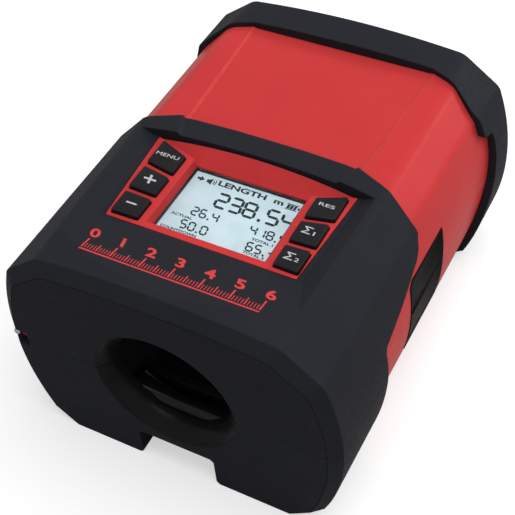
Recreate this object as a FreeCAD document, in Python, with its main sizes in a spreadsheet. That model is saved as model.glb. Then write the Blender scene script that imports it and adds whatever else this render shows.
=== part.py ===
import FreeCAD, Part
import math
import os
import re
import Sketcher
from FreeCAD import Rotation, Vector

# Cable length counter: a hinged two-half case. The cable runs through it from the inlet to the
# outlet over two guide rollers, and a sprung arm in the upper half presses a measuring wheel on it.
# X to the right seen from the inlet, Y from the inlet to the outlet, Z up; the origin is at the
# bottom, in the middle. All sizes are in millimetres.

document = FreeCAD.newDocument("cable_length_counter")
sheet = document.addObject("Spreadsheet::Sheet", "Sizes")

sizes = [
    # case: length, parting plane and the fits between its pieces
    ("body_length", 147.0), ("seam_level", 42.0), ("parting_gap", 0.12), ("seat_gap", 0.1),
    # outline of the end faces
    ("face_half", 55.9), ("face_corner_x", 51.2), ("face_corner_z", 68.8), ("face_top_x", 37.9),
    ("face_top_z", 79.2), ("face_foot_x", 48.9), ("face_foot_z", 6.6), ("face_sole_x", 41.0),
    # outline of the end caps behind their bevelled rims
    ("rim_depth", 3.3), ("cap_half", 59.6), ("cap_corner_x", 54.7), ("cap_corner_z", 71.6),
    ("rim_top_x", 40.3), ("rim_top_z", 83.4), ("cap_foot_x", 52.2), ("cap_foot_z", 6.2),
    ("cap_sole_x", 43.6), ("cap_top_x", 43.6), ("cap_top_z", 82.4), ("cap_rise", 0.8),
    ("rim_rise", 2.0), ("front_cap_reach", 79.0), ("rear_cap_reach", 15.5), ("cap_face_wall", 3.0),
    # basin round the display and the lowered strip behind it in the front cap's top
    ("basin_front", 5.0), ("basin_front_level", 85.5), ("basin_shoulder_front", 41.0),
    ("basin_half_rear", 38.0), ("basin_shoulder_rear", 42.5), ("basin_shoulder_level", 83.5),
    ("strip_level", 83.1), ("strip_front", 66.0), ("strip_half_front", 27.2),
    ("strip_half_rear", 32.0), ("front_lip_reach", 3.6),
    # outline of the shells
    ("shell_half", 56.6), ("shell_corner_x", 52.3), ("shell_corner_z", 70.8), ("shell_top_x", 42.6),
    ("shell_top_z", 80.4), ("shell_rise", 1.2), ("shell_foot_x", 49.9), ("shell_foot_z", 8.0),
    ("shell_sole_x", 42.2), ("shell_sole_z", 2.2), ("shell_wall", 2.2), ("side_bend", 86.0),
    ("edge_setback", 2.2), ("recess_half_front", 31.0), ("recess_half_rear", 34.0),
    ("recess_level", 80.3), ("recess_overlap", 1.3), ("roof_level", 78.9), ("roof_half", 40.2),
    ("roof_plate_half", 43.0), ("roof_plate_wall", 2.0),
    # channel under the case
    ("channel_half", 14.2), ("channel_level", 13.5), ("channel_lining", 1.5), ("channel_bevel", 1.2),
    # inlet and outlet rings
    ("mouth_radius", 25.0), ("bore_radius", 20.5), ("lip_bend", 9.4), ("ring_depth", 8.0),
    ("ring_wall", 2.2), ("ring_flange", 1.8), ("ring_flange_wall", 1.6), ("roller_clear", 0.5),
    # hinge
    ("hinge_x", 57.0), ("knuckle_radius", 2.55), ("pin_radius", 1.25), ("hinge_notch", 3.3),
    ("hinge_notch_depth", 5.5), ("knuckle_count", 6), ("knuckle_gap", 0.3), ("hinge_end", 4.0),
    ("running_fit", 0.05), ("knuckle_clear", 0.35), ("hinge_rib", 1.8), ("hinge_rib_height", 5.0),
    # guide rollers
    ("roller_setback", 11.0), ("roller_level", 21.2), ("roller_waist", 3.0), ("roller_rim", 6.5),
    ("roller_half", 18.0), ("roller_flange", 1.5), ("axle_radius", 1.5), ("washer_radius", 3.0),
    ("washer_wall", 0.7), ("cheek_wall", 2.5), ("cheek_half", 6.0), ("cheek_rise", 7.8),
    ("cradle_bar", 3.0),
    ("roller_gap", 0.15),
    # trays that line the two halves
    ("tray_wall", 1.8), ("tray_floor", 19.8), ("tray_half", 24.5), ("tray_floor_half", 19.5),
    ("tray_roof", 64.0), ("tray_roof_half", 20.5), ("tray_level_gap", 0.4), ("tray_side", 53.6),
    ("tray_end_gap", 0.3),
    # display bezel, its window and the keys
    ("bezel_level", 80.6), ("bezel_foot", 75.4), ("bezel_front", 25.0), ("bezel_rear", 71.6),
    ("bezel_half", 37.2), ("bezel_gap", 0.3), ("window_front", 29.3), ("window_rear", 67.1),
    ("window_half_front", 33.2), ("window_half_rear", 35.9), ("window_bow", 316.0),
    ("dish_front", 32.0), ("dish_foot", 76.9), ("dish_rear", 70.0), ("dish_rear_level", 82.5),
    ("dish_step", 62.2), ("dish_left", 19.5), ("dish_right", 22.0), ("screen_front", 34.5),
    ("screen_rear", 62.9), ("screen_half", 19.7), ("screen_level", 76.4), ("lcd_wall", 2.6),
    ("lcd_side", 0.8), ("lcd_end", 2.4), ("backlight_wall", 0.9), ("key_left_inner", 22.2),
    ("key_left_outer", 31.8), ("key_right_inner", 24.4), ("key_right_outer", 32.7),
    ("key_outer_step", 0.4),
    ("key_line_outer_1", 31.0), ("key_line_outer_2", 41.2), ("key_line_outer_3", 53.2),
    ("key_line_outer_4", 64.7), ("key_line_inner_1", 31.2), ("key_line_inner_2", 40.8),
    ("key_line_inner_3", 51.4), ("key_line_inner_4", 61.0), ("key_split", 2.2),
    ("key_height", 1.4), ("key_gap", 0.25), ("key_travel", 0.8), ("key_flange", 0.8),
    ("key_flange_wall", 1.1), ("key_corner", 0.7), ("switch_side", 5.0), ("switch_clear", 0.1),
    # circuit board
    ("board_level", 70.0), ("board_wall", 1.6), ("board_front", 24.8), ("board_rear", 71.8),
    ("board_half", 36.8), ("post_radius", 2.2), ("post_x_front", 33.8), ("post_x_rear", 34.8),
    ("post_front", 27.2), ("post_rear", 69.4), ("small_screw_radius", 1.0), ("small_head_radius", 1.9),
    ("small_head_wall", 1.2), ("board_screw_length", 4.6), ("buzzer_radius", 5.0),
    ("buzzer_height", 3.2), ("chip_side", 9.0), ("chip_wall", 1.4),
    # batteries
    ("cell_radius", 7.2), ("cell_length", 50.4), ("cell_x", 36.0), ("cell_level", 55.0),
    ("cell_front", 66.5), ("cell_button_radius", 2.7), ("cell_button", 1.2), ("holder_wall", 2.4),
    ("holder_gap", 0.25), ("holder_boss", 6.0), ("contact_wall", 0.5), ("contact_side", 9.0),
    ("door_ledge", 0.75), ("door_gap", 0.25), ("door_screw_length", 8.0),
    # measuring arm and wheel
    ("pivot_y", 76.5), ("pivot_level", 67.4), ("arm_length", 40.0), ("arm_drop", 50.0),
    ("arm_cheek_wall", 2.0), ("arm_half", 9.3), ("arm_eye_radius", 4.0), ("arm_tip_radius", 4.6),
    ("arm_web_start", 9.0), ("arm_web_end", 26.0), ("arm_web_wall", 2.0), ("pivot_radius", 2.0),
    ("lug_wall", 2.8), ("lug_gap", 0.7), ("lug_half", 4.2), ("wheel_radius", 9.55),
    ("hub_radius", 7.2), ("wheel_half", 5.0), ("wheel_axle_radius", 1.5), ("bearing_radius", 3.5),
    ("bearing_wall", 2.5), ("magnet_radius", 5.0), ("magnet_wall", 0.8), ("sensor_half", 5.2),
    ("sensor_wall", 1.2), ("slot_front", 5.5), ("slot_rear", 52.0), ("spring_wire", 0.4),
    ("spring_radius", 3.1), ("spring_pitch", 1.0), ("spring_turns", 5), ("spring_leg", 7.5),
    # finger grips and the magnet that holds the halves shut
    ("grip_front", 61.0), ("grip_rear", 88.6), ("grip_top", 55.7), ("grip_foot", 22.0),
    ("grip_depth", 1.3), ("grip_proud", 0.25), ("grip_gap", 0.2), ("grip_backing", 1.6),
    ("grip_corner", 2.0), ("catch_length", 14.0), ("catch_width", 5.0), ("catch_height", 3.0),
    ("catch_plate_wall", 1.2), ("catch_x", 49.7), ("catch_y", 74.8), ("catch_wall", 1.2),
    # screws of the trays and under the feet
    ("tray_screw_x", 49.8), ("tray_screw_inset", 14.0), ("tray_boss_radius", 3.7),
    ("tray_boss_length", 11.0), ("tray_screw_radius", 1.3), ("tray_head_radius", 2.2),
    ("tray_rib_wall", 2.4),
    ("tray_head_wall", 1.1), ("tray_screw_length", 8.0), ("foot_screw_x", 30.0),
    ("foot_screw_inset", 12.0), ("foot_screw_radius", 1.5), ("foot_head_radius", 3.0),
    ("foot_head_wall", 1.6), ("foot_head_recess", 0.3), ("foot_screw_length", 9.0),
    ("cap_boss_radius", 4.6), ("shell_boss_radius", 6.4), ("shell_boss_height", 8.6),
]

for row, (alias, value) in enumerate(sizes, start=1):
    sheet.set(f"A{row}", alias)
    sheet.set(f"B{row}", str(value))
    sheet.setAlias(f"B{row}", alias)
document.recompute()

aliases = {alias for alias, value in sizes}
front = "(-body_length/2)"
rear = "(body_length/2)"


# ---------------------------------------------------------------- helpers
def bound(text):
    """An expression in which each size is written as the sheet's cell."""
    return re.sub(r"[a-z_]\w*", lambda name: "Sizes." + name[0] if name[0] in aliases else name[0], text)


def number(text):
    """The present value of an expression."""
    value = sheet.evalExpression(bound(text))
    return float(getattr(value, "Value", value))


def tie(thing, target, text):
    """Bind one property of an object to an expression."""
    thing.setExpression(target, bound(text))


def new_body(label):
    """An empty body for one piece."""
    body = document.addObject("PartDesign::Body", label)
    body.Label = label
    return body


def new_sketch(body, role, level="0", shift=("0", "0")):
    """A sketch on one of the body's own planes, moved along its normal and in its plane."""
    sketch = body.newObject("Sketcher::SketchObject", "Sketch")
    plane = [item for item in body.Origin.OriginFeatures if item.Role == role][0]
    sketch.AttachmentSupport = [(plane, "")]
    sketch.MapMode = "FlatFace"
    tie(sketch, ".AttachmentOffset.Base.x", shift[0])
    tie(sketch, ".AttachmentOffset.Base.y", shift[1])
    tie(sketch, ".AttachmentOffset.Base.z", level)
    return sketch


def arc_between(start, end, radius):
    """An arc that bulges to the right of the way it is travelled, or to the left if negative."""
    chord = end - start
    outward = Vector(chord.y, -chord.x, 0).normalize() * (1 if radius > 0 else -1)
    reach = math.sqrt(max(radius * radius - chord.Length ** 2 / 4, 0))
    centre = (start + end) * 0.5 - outward * reach
    return Part.Arc(start, centre + outward * abs(radius), end)


def draw(sketch, outline):
    """A closed outline: (x, y) is a corner, and (x, y, bend) starts an arc of that radius."""
    corners = [Vector(number(corner[0]), number(corner[1]), 0) for corner in outline]
    ends = []
    for index, corner in enumerate(outline):
        start = corners[index]
        end = corners[(index + 1) % len(corners)]
        if len(corner) == 2:
            edge = sketch.addGeometry(Part.LineSegment(start, end), False)
        else:
            edge = sketch.addGeometry(arc_between(start, end, number(corner[2])), False)
            name = sketch.addConstraint(Sketcher.Constraint("Radius", edge, abs(number(corner[2]))))
            tie(sketch, f"Constraints[{name}]", f"abs({corner[2]})")
        forward = (sketch.getPoint(edge, 1) - start).Length < 1e-6
        ends.append((edge, 1, 2) if forward else (edge, 2, 1))
    for index, (edge, first, last) in enumerate(ends):
        following = ends[(index + 1) % len(ends)]
        sketch.addConstraint(Sketcher.Constraint("Coincident", edge, last, following[0], following[1]))
        for axis, text in (("DistanceX", outline[index][0]), ("DistanceY", outline[index][1])):
            rule = Sketcher.Constraint(axis, -1, 1, edge, first, number(text))
            name = sketch.addConstraint(rule)
            tie(sketch, f"Constraints[{name}]", text)
    return sketch


def pad(body, sketch, length, taper=0):
    """Material from the sketch along its normal, with sides that lean out by the taper."""
    feature = body.newObject("PartDesign::Pad", "Pad")
    feature.Profile = sketch
    tie(feature, "Length", length)
    feature.TaperAngle = taper
    return feature


def turned(label, role, outline, shift, level="0", angle="360"):
    """A body turned about the sketch's horizontal axis, half each way from its plane."""
    body = new_body(label)
    sketch = draw(new_sketch(body, role, level, shift), outline)
    feature = body.newObject("PartDesign::Revolution", "Revolution")
    feature.Profile = sketch
    feature.ReferenceAxis = (sketch, ["H_Axis"])
    feature.Midplane = True
    tie(feature, "Angle", angle)
    return body


def prism_y(label, outline, start, end):
    """A body with an (x, z) outline from one y to another."""
    body = new_body(label)
    pad(body, draw(new_sketch(body, "XZ_Plane", f"-({end})"), outline), f"({end}) - ({start})")
    return body


def prism_z(label, outline, low, high, taper=0):
    """A body with an (x, y) outline from one z to another."""
    body = new_body(label)
    pad(body, draw(new_sketch(body, "XY_Plane", low), outline), f"({high}) - ({low})", taper)
    return body


def prism_x(label, outline, left, right):
    """A body with a (y, z) outline from one x to another."""
    body = new_body(label)
    pad(body, draw(new_sketch(body, "YZ_Plane", left), outline), f"({right}) - ({left})")
    return body


def lofted(label, stations):
    """A body through (x, z) outlines at several y, with straight sides between them."""
    body = new_body(label)
    sketches = [draw(new_sketch(body, "XZ_Plane", f"-({y})"), outline) for y, outline in stations]
    feature = body.newObject("PartDesign::AdditiveLoft", "Loft")
    feature.Profile = sketches[0]
    feature.Sections = sketches[1:]
    feature.Ruled = True
    return body


def box(label, low, high):
    """A box between two corners."""
    item = document.addObject("Part::Box", label)
    item.Label = label
    for side, start, end in zip(("Length", "Width", "Height"), low, high):
        tie(item, side, f"({end}) - ({start})")
    for axis, start in zip("xyz", low):
        tie(item, f"Placement.Base.{axis}", start)
    return item


turns = {
    "x": Rotation(Vector(0, 1, 0), 90),
    "y": Rotation(Vector(1, 0, 0), -90),
    "z": Rotation(),
}


def rod(label, axis, start, radius, length):
    """A cylinder from a point along one axis."""
    item = document.addObject("Part::Cylinder", label)
    item.Label = label
    item.Placement = FreeCAD.Placement(Vector(), turns[axis])
    tie(item, "Radius", radius)
    tie(item, "Height", length)
    for direction, place in zip("xyz", start):
        tie(item, f"Placement.Base.{direction}", place)
    return item


def fuse(label, items):
    """One solid from pieces that meet, or a group of separate solids."""
    item = document.addObject("Part::MultiFuse", label)
    item.Label = label
    item.Shapes = items
    return item


def cut(label, base, tools):
    """The base with every tool taken out of it."""
    item = document.addObject("Part::Cut", label)
    item.Label = label
    item.Base = base
    item.Tool = tools[0] if len(tools) == 1 else fuse(label + "_cutters", tools)
    return item


def common(label, items):
    """What all the items share."""
    item = document.addObject("Part::MultiCommon", label)
    item.Label = label
    item.Shapes = items
    return item


def mirrored(outline):
    """An (x, y) outline on the other side of the middle, travelled the same way round."""
    return [(f"-({corner[0]})",) + tuple(corner[1:]) for corner in reversed(outline)]


# ---------------------------------------------------------------- outlines of the case
def upper_outline(half, corner_x, corner_z, top_x, top_z, rise, base):
    """The (x, z) outline of an upper half: bent sides, sloping facets and a slightly crowned top."""
    facet = f"sqrt((({corner_x}) - ({top_x}))^2 + (({top_z}) - ({corner_z}))^2)"
    side = f"sqrt((({half}) - ({corner_x}))^2 + (({corner_z}) - ({base}))^2)"
    slope_x = f"edge_setback*(({corner_x}) - ({top_x}))/{facet}"
    slope_z = f"edge_setback*(({top_z}) - ({corner_z}))/{facet}"
    right = [
        (f"({half})", base, "side_bend"),
        (
            f"({corner_x}) + edge_setback*(({half}) - ({corner_x}))/{side}",
            f"({corner_z}) - edge_setback*(({corner_z}) - ({base}))/{side}",
            "2.7*edge_setback",
        ),
        (f"({corner_x}) - {slope_x}", f"({corner_z}) + {slope_z}"),
        (f"({top_x}) + {slope_x}", f"({top_z}) - {slope_z}", "3.2*edge_setback"),
        (f"({top_x}) - edge_setback", f"({top_z})"),
    ]
    left = [(f"-({x})", z) for x, z, *bend in reversed(right)]
    bends = [corner[2] if len(corner) == 3 else None for corner in right[:-1]]
    left = [corner + (bend,) if bend else corner for corner, bend in zip(left, reversed(bends))]
    left.append((f"-({half})", base))
    crown = f"((({top_x}) - edge_setback)^2 + ({rise})^2)/(2*({rise}))"
    return right[:-1] + [right[-1] + (crown,)] + left[:1] + left[1:]


def lower_outline(half, foot_x, foot_z, sole_x, sole_z, channel_x, channel_z, base):
    """The (x, z) outline of a lower half: bent sides, flat feet and the channel between them."""
    right = [
        (f"({channel_x}) - channel_bevel", f"({channel_z})"),
        (f"({channel_x})", f"({channel_z}) - channel_bevel"),
        (f"({channel_x})", f"({sole_z}) + channel_bevel"),
        (f"({channel_x}) + channel_bevel", f"({sole_z})"),
        (f"({sole_x})", f"({sole_z})"),
        (f"({foot_x})", f"({foot_z})", "side_bend"),
        (f"({half})", base),
    ]
    left = [
        (f"-({half})", base, "side_bend"),
        (f"-({foot_x})", f"({foot_z})"),
        (f"-({sole_x})", f"({sole_z})"),
        (f"-({channel_x}) - channel_bevel", f"({sole_z})"),
        (f"-({channel_x})", f"({sole_z}) + channel_bevel"),
        (f"-({channel_x})", f"({channel_z}) - channel_bevel"),
        (f"-({channel_x}) + channel_bevel", f"({channel_z})"),
    ]
    return right + left


upper_base = "seam_level + parting_gap"
lower_base = "seam_level - parting_gap"


def shell_upper(grow):
    """The upper shell's outline, grown outwards."""
    return upper_outline(
        f"shell_half + {grow}", f"shell_corner_x + 0.9*{grow}", f"shell_corner_z + 0.5*{grow}",
        f"shell_top_x + 0.45*{grow}", f"shell_top_z + {grow}", "shell_rise", upper_base)


def shell_lower(grow):
    """The lower shell's outline, grown outwards."""
    return lower_outline(
        f"shell_half + {grow}", f"shell_foot_x + 0.9*{grow}", f"shell_foot_z - 0.3*{grow}",
        f"shell_sole_x + 0.3*{grow}", f"shell_sole_z - {grow}",
        f"channel_half + channel_lining + seat_gap - {grow}",
        f"channel_level + channel_lining + seat_gap - {grow}", lower_base)


def face_upper():
    """The upper outline of an end face."""
    return upper_outline("face_half", "face_corner_x", "face_corner_z", "face_top_x", "face_top_z",
                         "rim_rise", upper_base)


def rim_upper(drop):
    """The upper outline behind the bevelled rim."""
    return upper_outline("cap_half", "cap_corner_x", "cap_corner_z", "rim_top_x",
                         f"rim_top_z - ({drop})", "rim_rise", upper_base)


def cap_upper(top_z, rise):
    """The upper outline where a cap meets the shell."""
    return upper_outline("cap_half", "cap_corner_x", "cap_corner_z", "cap_top_x", top_z, rise,
                         upper_base)


def face_lower():
    """The lower outline of an end face."""
    return lower_outline("face_half", "face_foot_x", "face_foot_z", "face_sole_x", "0",
                         "channel_half", "channel_level", lower_base)


def cap_lower():
    """The lower outline of a cap."""
    return lower_outline("cap_half", "cap_foot_x", "cap_foot_z", "cap_sole_x", "0",
                         "channel_half", "channel_level", lower_base)


document_top = "rim_top_z + rim_rise + 10"
shell_front = f"{front} + cap_face_wall + seat_gap"
shell_rear = f"{rear} - cap_face_wall - seat_gap"
lower_flange_high = "(seam_level - tray_level_gap)"
lower_flange_low = "(seam_level - tray_level_gap - tray_wall)"
upper_flange_low = "(seam_level + tray_level_gap)"
upper_flange_high = "(seam_level + tray_level_gap + tray_wall)"


# ---------------------------------------------------------------- hinge
knuckle_length = "((body_length - 2*hinge_end - (knuckle_count - 1)*knuckle_gap)/knuckle_count)"
knuckle_count = round(number("knuckle_count"))


def knuckle_start(index):
    """Where one knuckle begins along the hinge."""
    return f"{front} + hinge_end + {index}*({knuckle_length} + knuckle_gap)"


def knuckles(label, indices, radius, spare):
    """Cylinders about the hinge line at the places of some knuckles."""
    return [
        rod(f"{label}_{index}", "y", ("-hinge_x", f"{knuckle_start(index)} - {spare}", "seam_level"),
            radius, f"{knuckle_length} + 2*{spare}")
        for index in indices
    ]


def pin_bore(label, radius):
    """The hole for the hinge pin along the whole hinge."""
    return rod(label, "y", ("-hinge_x", f"{front} - 1", "seam_level"), radius, "body_length + 2")


lower_knuckles = range(0, knuckle_count, 2)
upper_knuckles = range(1, knuckle_count, 2)


def hinge_pin():
    """The steel pin through all the knuckles."""
    return rod("hinge_pin", "y", ("-hinge_x", f"{front} + hinge_end - 1", "seam_level"), "pin_radius",
               "body_length - 2*hinge_end + 2")


def hinge_notch(label):
    """The slot along the caps in which the knuckles lie."""
    return box(label, ("-cap_half - 1", f"{front} - 1", "seam_level - hinge_notch"),
               ("-hinge_x + hinge_notch_depth", f"{rear} + 1", "seam_level + hinge_notch"))


# ---------------------------------------------------------------- end caps
def mouth(label):
    """The round hole through both end faces."""
    return rod(label, "y", ("0", f"{front} - 1", "seam_level"), "mouth_radius + seat_gap",
               "body_length + 2")


def side_edge(label, points, end, reach, inward):
    """What lies beyond a cap's inner edge, seen from the side; points are (distance, z)."""
    middle = f"{end} + ({inward})*0.8*body_length"
    edge = [(f"{end} + ({inward})*{reach}*{distance}", z) for distance, z in points]
    outline = [(middle, points[-1][1]), (middle, points[0][1])] + edge
    if number(inward) < 0:
        outline.reverse()
    return prism_x(label, outline, "-cap_half - 2", "cap_half + 2")


def plan_edge(label, points, end, reach, inward):
    """What lies beyond a cap's inner edge, seen from above; points are (x, distance)."""
    right = [(x, f"{end} + ({inward})*{reach}*{distance}") for x, distance in points]
    middle = f"{end} + ({inward})*0.8*body_length"
    outline = mirrored(right) + right + [("cap_half + 2", middle), ("-cap_half - 2", middle)]
    if number(inward) < 0:
        outline.reverse()
    return prism_z(label, outline, "cap_corner_z - 1", document_top)


front_side_points = [
    ("1", "95"), ("1", "70.8"), ("0.876", "70.6"), ("0.847", "66.2"), ("0.816", "64.3"),
    ("0.633", "58.4"), ("0.462", "54"), ("0.453", "52"), ("0.458", "45"), ("0.456", "38"),
    ("0.443", "30"), ("0.42", "15"), ("0.39", "-5"),
]
front_plan_points = [
    ("12", "0.978"), ("27", "0.97"), ("31.5", "0.963"), ("36.5", "0.939"), ("42", "0.914"),
    ("48", "0.897"), ("52", "0.885"), ("cap_half + 2", "0.86"),
]
rear_side_points = [
    ("1.5", "95"), ("1.45", "72"), ("1.41", "64.5"), ("1.065", "62.8"), ("0.97", "58"),
    ("0.98", "50"), ("1.03", "41"), ("1.19", "33"), ("1.335", "25"), ("1.42", "10"), ("1.42", "-5"),
]
rear_plan_points = [
    ("34", "1"), ("43.7", "1.226"), ("51", "1.445"), ("cap_half + 2", "1.46"),
]


def foot_screw_rods(label, radius, low, height, ends=("front", "rear")):
    """Cylinders on the lines of the foot screws."""
    lines = {"front": f"{front} + foot_screw_inset", "rear": f"{rear} - foot_screw_inset"}
    return [
        rod(f"{label}_{end}_{index}", "z", (x, lines[end], low), radius, height)
        for end in ends for index, x in enumerate(("foot_screw_x", "-foot_screw_x"))
    ]


def recess_lip(label, half, start, end):
    """The part of a cap's edge that reaches down to the floor of the recess."""
    return box(label, (f"-({half})", start, "recess_level + seat_gap/2"), (half, end, "cap_top_z"))


def window_outline(gap):
    """The (x, y) outline of the window in the front cap, made smaller by a gap."""
    near, far = f"{front} + window_front + {gap}", f"{front} + window_rear - {gap}"
    return [
        (f"-(window_half_front - {gap})", near), (f"window_half_front - {gap}", near),
        (f"window_half_rear - {gap}", far, "window_bow"), (f"-(window_half_rear - {gap})", far),
    ]


def basin_section(half, shoulder):
    """The (x, z) outline of what is taken out over the display, with sloping sides."""
    return [
        (f"-{shoulder}", "basin_shoulder_level"), (f"-{half}", "bezel_level"), (half, "bezel_level"),
        (shoulder, "basin_shoulder_level"), (shoulder, document_top), (f"-{shoulder}", document_top),
    ]


def display_basin():
    """The shallow basin in the front cap's top that leads down to the display bezel."""
    reach = "(basin_shoulder_rear + 1)"
    bow_middle = f"{front} + window_rear - sqrt(window_bow^2 - window_half_rear^2)"
    far = f"{bow_middle} + sqrt(window_bow^2 - {reach}^2)"
    near = f"{front} + basin_front"
    section = lofted("basin_section", [
        (f"{front} + rim_depth", basin_section("window_half_front", "basin_shoulder_front")),
        (f"{front} + front_cap_reach", basin_section("basin_half_rear", "basin_shoulder_rear"))])
    slope = prism_x("basin_slope", [
        (f"{front} + window_front", "bezel_level"), (f"{front} + front_cap_reach", "bezel_level"),
        (f"{front} + front_cap_reach", document_top), (near, document_top), (near, "basin_front_level"),
    ], f"-{reach}", reach)
    plan = prism_z("basin_plan", [
        (f"-{reach}", near), (reach, near), (reach, far, "window_bow"), (f"-{reach}", far),
    ], "bezel_foot", document_top)
    return common("display_basin", [section, slope, plan])


def front_cap_upper():
    """The upper front cap, with a basin in its top and the opening for the display bezel."""
    outer = lofted("front_cap_upper_outer", [
        (front, face_upper()), (f"{front} + rim_depth", rim_upper("0")),
        (f"{front} + front_cap_reach", cap_upper("rim_top_z", "rim_rise"))])
    lid_space = prism_y("front_cap_lid_space", shell_upper("seat_gap"), f"{front} + cap_face_wall", rear)
    roof_seat = box("front_cap_roof_seat", (
        "-roof_half + seat_gap", front, "roof_level + seat_gap"),
        ("roof_half - seat_gap", f"{front} + bezel_rear + bezel_gap - seat_gap", document_top))
    window = prism_z("front_cap_window", window_outline("0"), "shell_corner_z", document_top)
    strip_far = f"{front} + front_cap_reach + 1"
    strip = prism_z("front_cap_strip", [
        ("-strip_half_front", f"{front} + strip_front"), ("strip_half_front", f"{front} + strip_front"),
        ("strip_half_rear", strip_far), ("-strip_half_rear", strip_far),
    ], "strip_level", "strip_level + 3", taper=40)
    shaped = cut("front_cap_upper_shaped", outer, [
        cut("front_cap_upper_inner", lid_space, [roof_seat]), window, display_basin(), strip,
        mouth("front_cap_upper_mouth"), hinge_notch("front_cap_upper_notch"),
        side_edge("front_cap_upper_side", front_side_points, front, "front_cap_reach", "1")])
    lip = recess_lip("front_cap_lip", "recess_half_front - 1",
                     f"{front} + front_cap_reach - front_lip_reach + seat_gap",
                     f"{front} + front_cap_reach")
    return cut("front_cap_upper", fuse("front_cap_upper_solid", [shaped, lip]), [
        plan_edge("front_cap_upper_plan", front_plan_points, front, "front_cap_reach", "1")])


def rear_cap_upper():
    """The upper rear cap."""
    outer = lofted("rear_cap_upper_outer", [
        (f"{rear} - 2*rear_cap_reach", cap_upper("cap_top_z", "cap_rise")),
        (f"{rear} - rim_depth", rim_upper("rim_top_z - cap_top_z")), (rear, face_upper())])
    inner = prism_y("rear_cap_upper_inner", shell_upper("seat_gap"), front, f"{rear} - cap_face_wall")
    shaped = cut("rear_cap_upper_shaped", outer, [
        inner, mouth("rear_cap_upper_mouth"), hinge_notch("rear_cap_upper_notch"),
        side_edge("rear_cap_upper_side", rear_side_points, rear, "rear_cap_reach", "-1"),
        plan_edge("rear_cap_upper_plan", rear_plan_points, rear, "rear_cap_reach", "-1")])
    lip = recess_lip("rear_cap_lip", "recess_half_rear - 1", f"{rear} - rear_cap_reach",
                     f"{rear} - rear_cap_reach + 1.2")
    return fuse("rear_cap_upper", [shaped, lip])


def lower_cap(name, outer, inner, edge):
    """A lower cap with its mouth, its hinge notch and the bosses for two foot screws."""
    end = name.split("_")[0]
    shaped = cut(f"{name}_shaped", outer, [
        inner, edge, mouth(f"{name}_mouth"), hinge_notch(f"{name}_notch")])
    bosses = foot_screw_rods(f"{name}_boss", "cap_boss_radius", "1", "shell_sole_z + shell_wall - 1",
                             [end])
    holes = foot_screw_rods(f"{name}_hole", "foot_screw_radius + seat_gap", "-1", "shell_boss_height",
                            [end])
    heads = foot_screw_rods(f"{name}_head", "foot_head_radius + seat_gap", "-1",
                            "1 + foot_head_recess + foot_head_wall", [end])
    return cut(name, fuse(f"{name}_solid", [shaped] + bosses), holes + heads)


def front_cap_lower():
    """The lower front cap, whose feet the case stands on."""
    outer = lofted("front_cap_lower_outer", [
        (front, face_lower()), (f"{front} + rim_depth", cap_lower()),
        (f"{front} + front_cap_reach", cap_lower())])
    inner = prism_y("front_cap_lower_inner", shell_lower("seat_gap"), f"{front} + cap_face_wall", rear)
    edge = side_edge("front_cap_lower_side", front_side_points, front, "front_cap_reach", "1")
    return lower_cap("front_cap_lower", outer, inner, edge)


def rear_cap_lower():
    """The lower rear cap."""
    outer = lofted("rear_cap_lower_outer", [
        (f"{rear} - 2*rear_cap_reach", cap_lower()), (f"{rear} - rim_depth", cap_lower()),
        (rear, face_lower())])
    inner = prism_y("rear_cap_lower_inner", shell_lower("seat_gap"), front, f"{rear} - cap_face_wall")
    edge = side_edge("rear_cap_lower_side", rear_side_points, rear, "rear_cap_reach", "-1")
    return lower_cap("rear_cap_lower", outer, inner, edge)


# ---------------------------------------------------------------- guide rollers
roller_places = {"front": f"({front} + roller_setback)", "rear": f"({rear} - roller_setback)"}
channel_roof = "channel_level + channel_lining + seat_gap + shell_wall"
cheek_relief = "(roller_half + roller_flange + roller_gap + washer_wall + cheek_wall + 0.3)"
cheek_inner = "(roller_half + roller_flange + roller_gap + washer_wall)"
hollow = "(roller_half^2 + (roller_rim - roller_waist)^2)/(2*(roller_rim - roller_waist))"


def guide_roller(label, y, bore="axle_radius + running_fit", grow="0"):
    """An hourglass roller that centres the cable."""
    end = f"roller_half + roller_flange + {grow}"
    outline = [
        (f"-({end})", bore), (end, bore), (end, f"roller_rim + {grow}"),
        ("roller_half", f"roller_rim + {grow}", f"-({hollow})"),
        ("-roller_half", f"roller_rim + {grow}"), (f"-({end})", f"roller_rim + {grow}"),
    ]
    return turned(label, "XZ_Plane", outline, ("0", "roller_level"), f"-({y})")


def roller_axles():
    """The steel axles of both rollers."""
    return fuse("roller_axles", [
        rod(f"roller_axle_{name}", "x", (f"-({cheek_inner} + cheek_wall)", y, "roller_level"),
            "axle_radius", f"2*({cheek_inner} + cheek_wall)")
        for name, y in roller_places.items()])


def roller_washers():
    """Thin washers between the rollers and the cheeks of their cradles."""
    washers = []
    for name, y in roller_places.items():
        for side, x in (("left", f"-{cheek_inner}"), ("right", f"{cheek_inner} - washer_wall")):
            disc = rod(f"washer_{name}_{side}_disc", "x", (x, y, "roller_level"), "washer_radius",
                       "washer_wall")
            hole = rod(f"washer_{name}_{side}_hole", "x", (f"({x}) - 1", y, "roller_level"),
                       "axle_radius + running_fit", "washer_wall + 2")
            washers.append(cut(f"washer_{name}_{side}", disc, [hole]))
    return fuse("roller_washers", washers)


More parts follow.
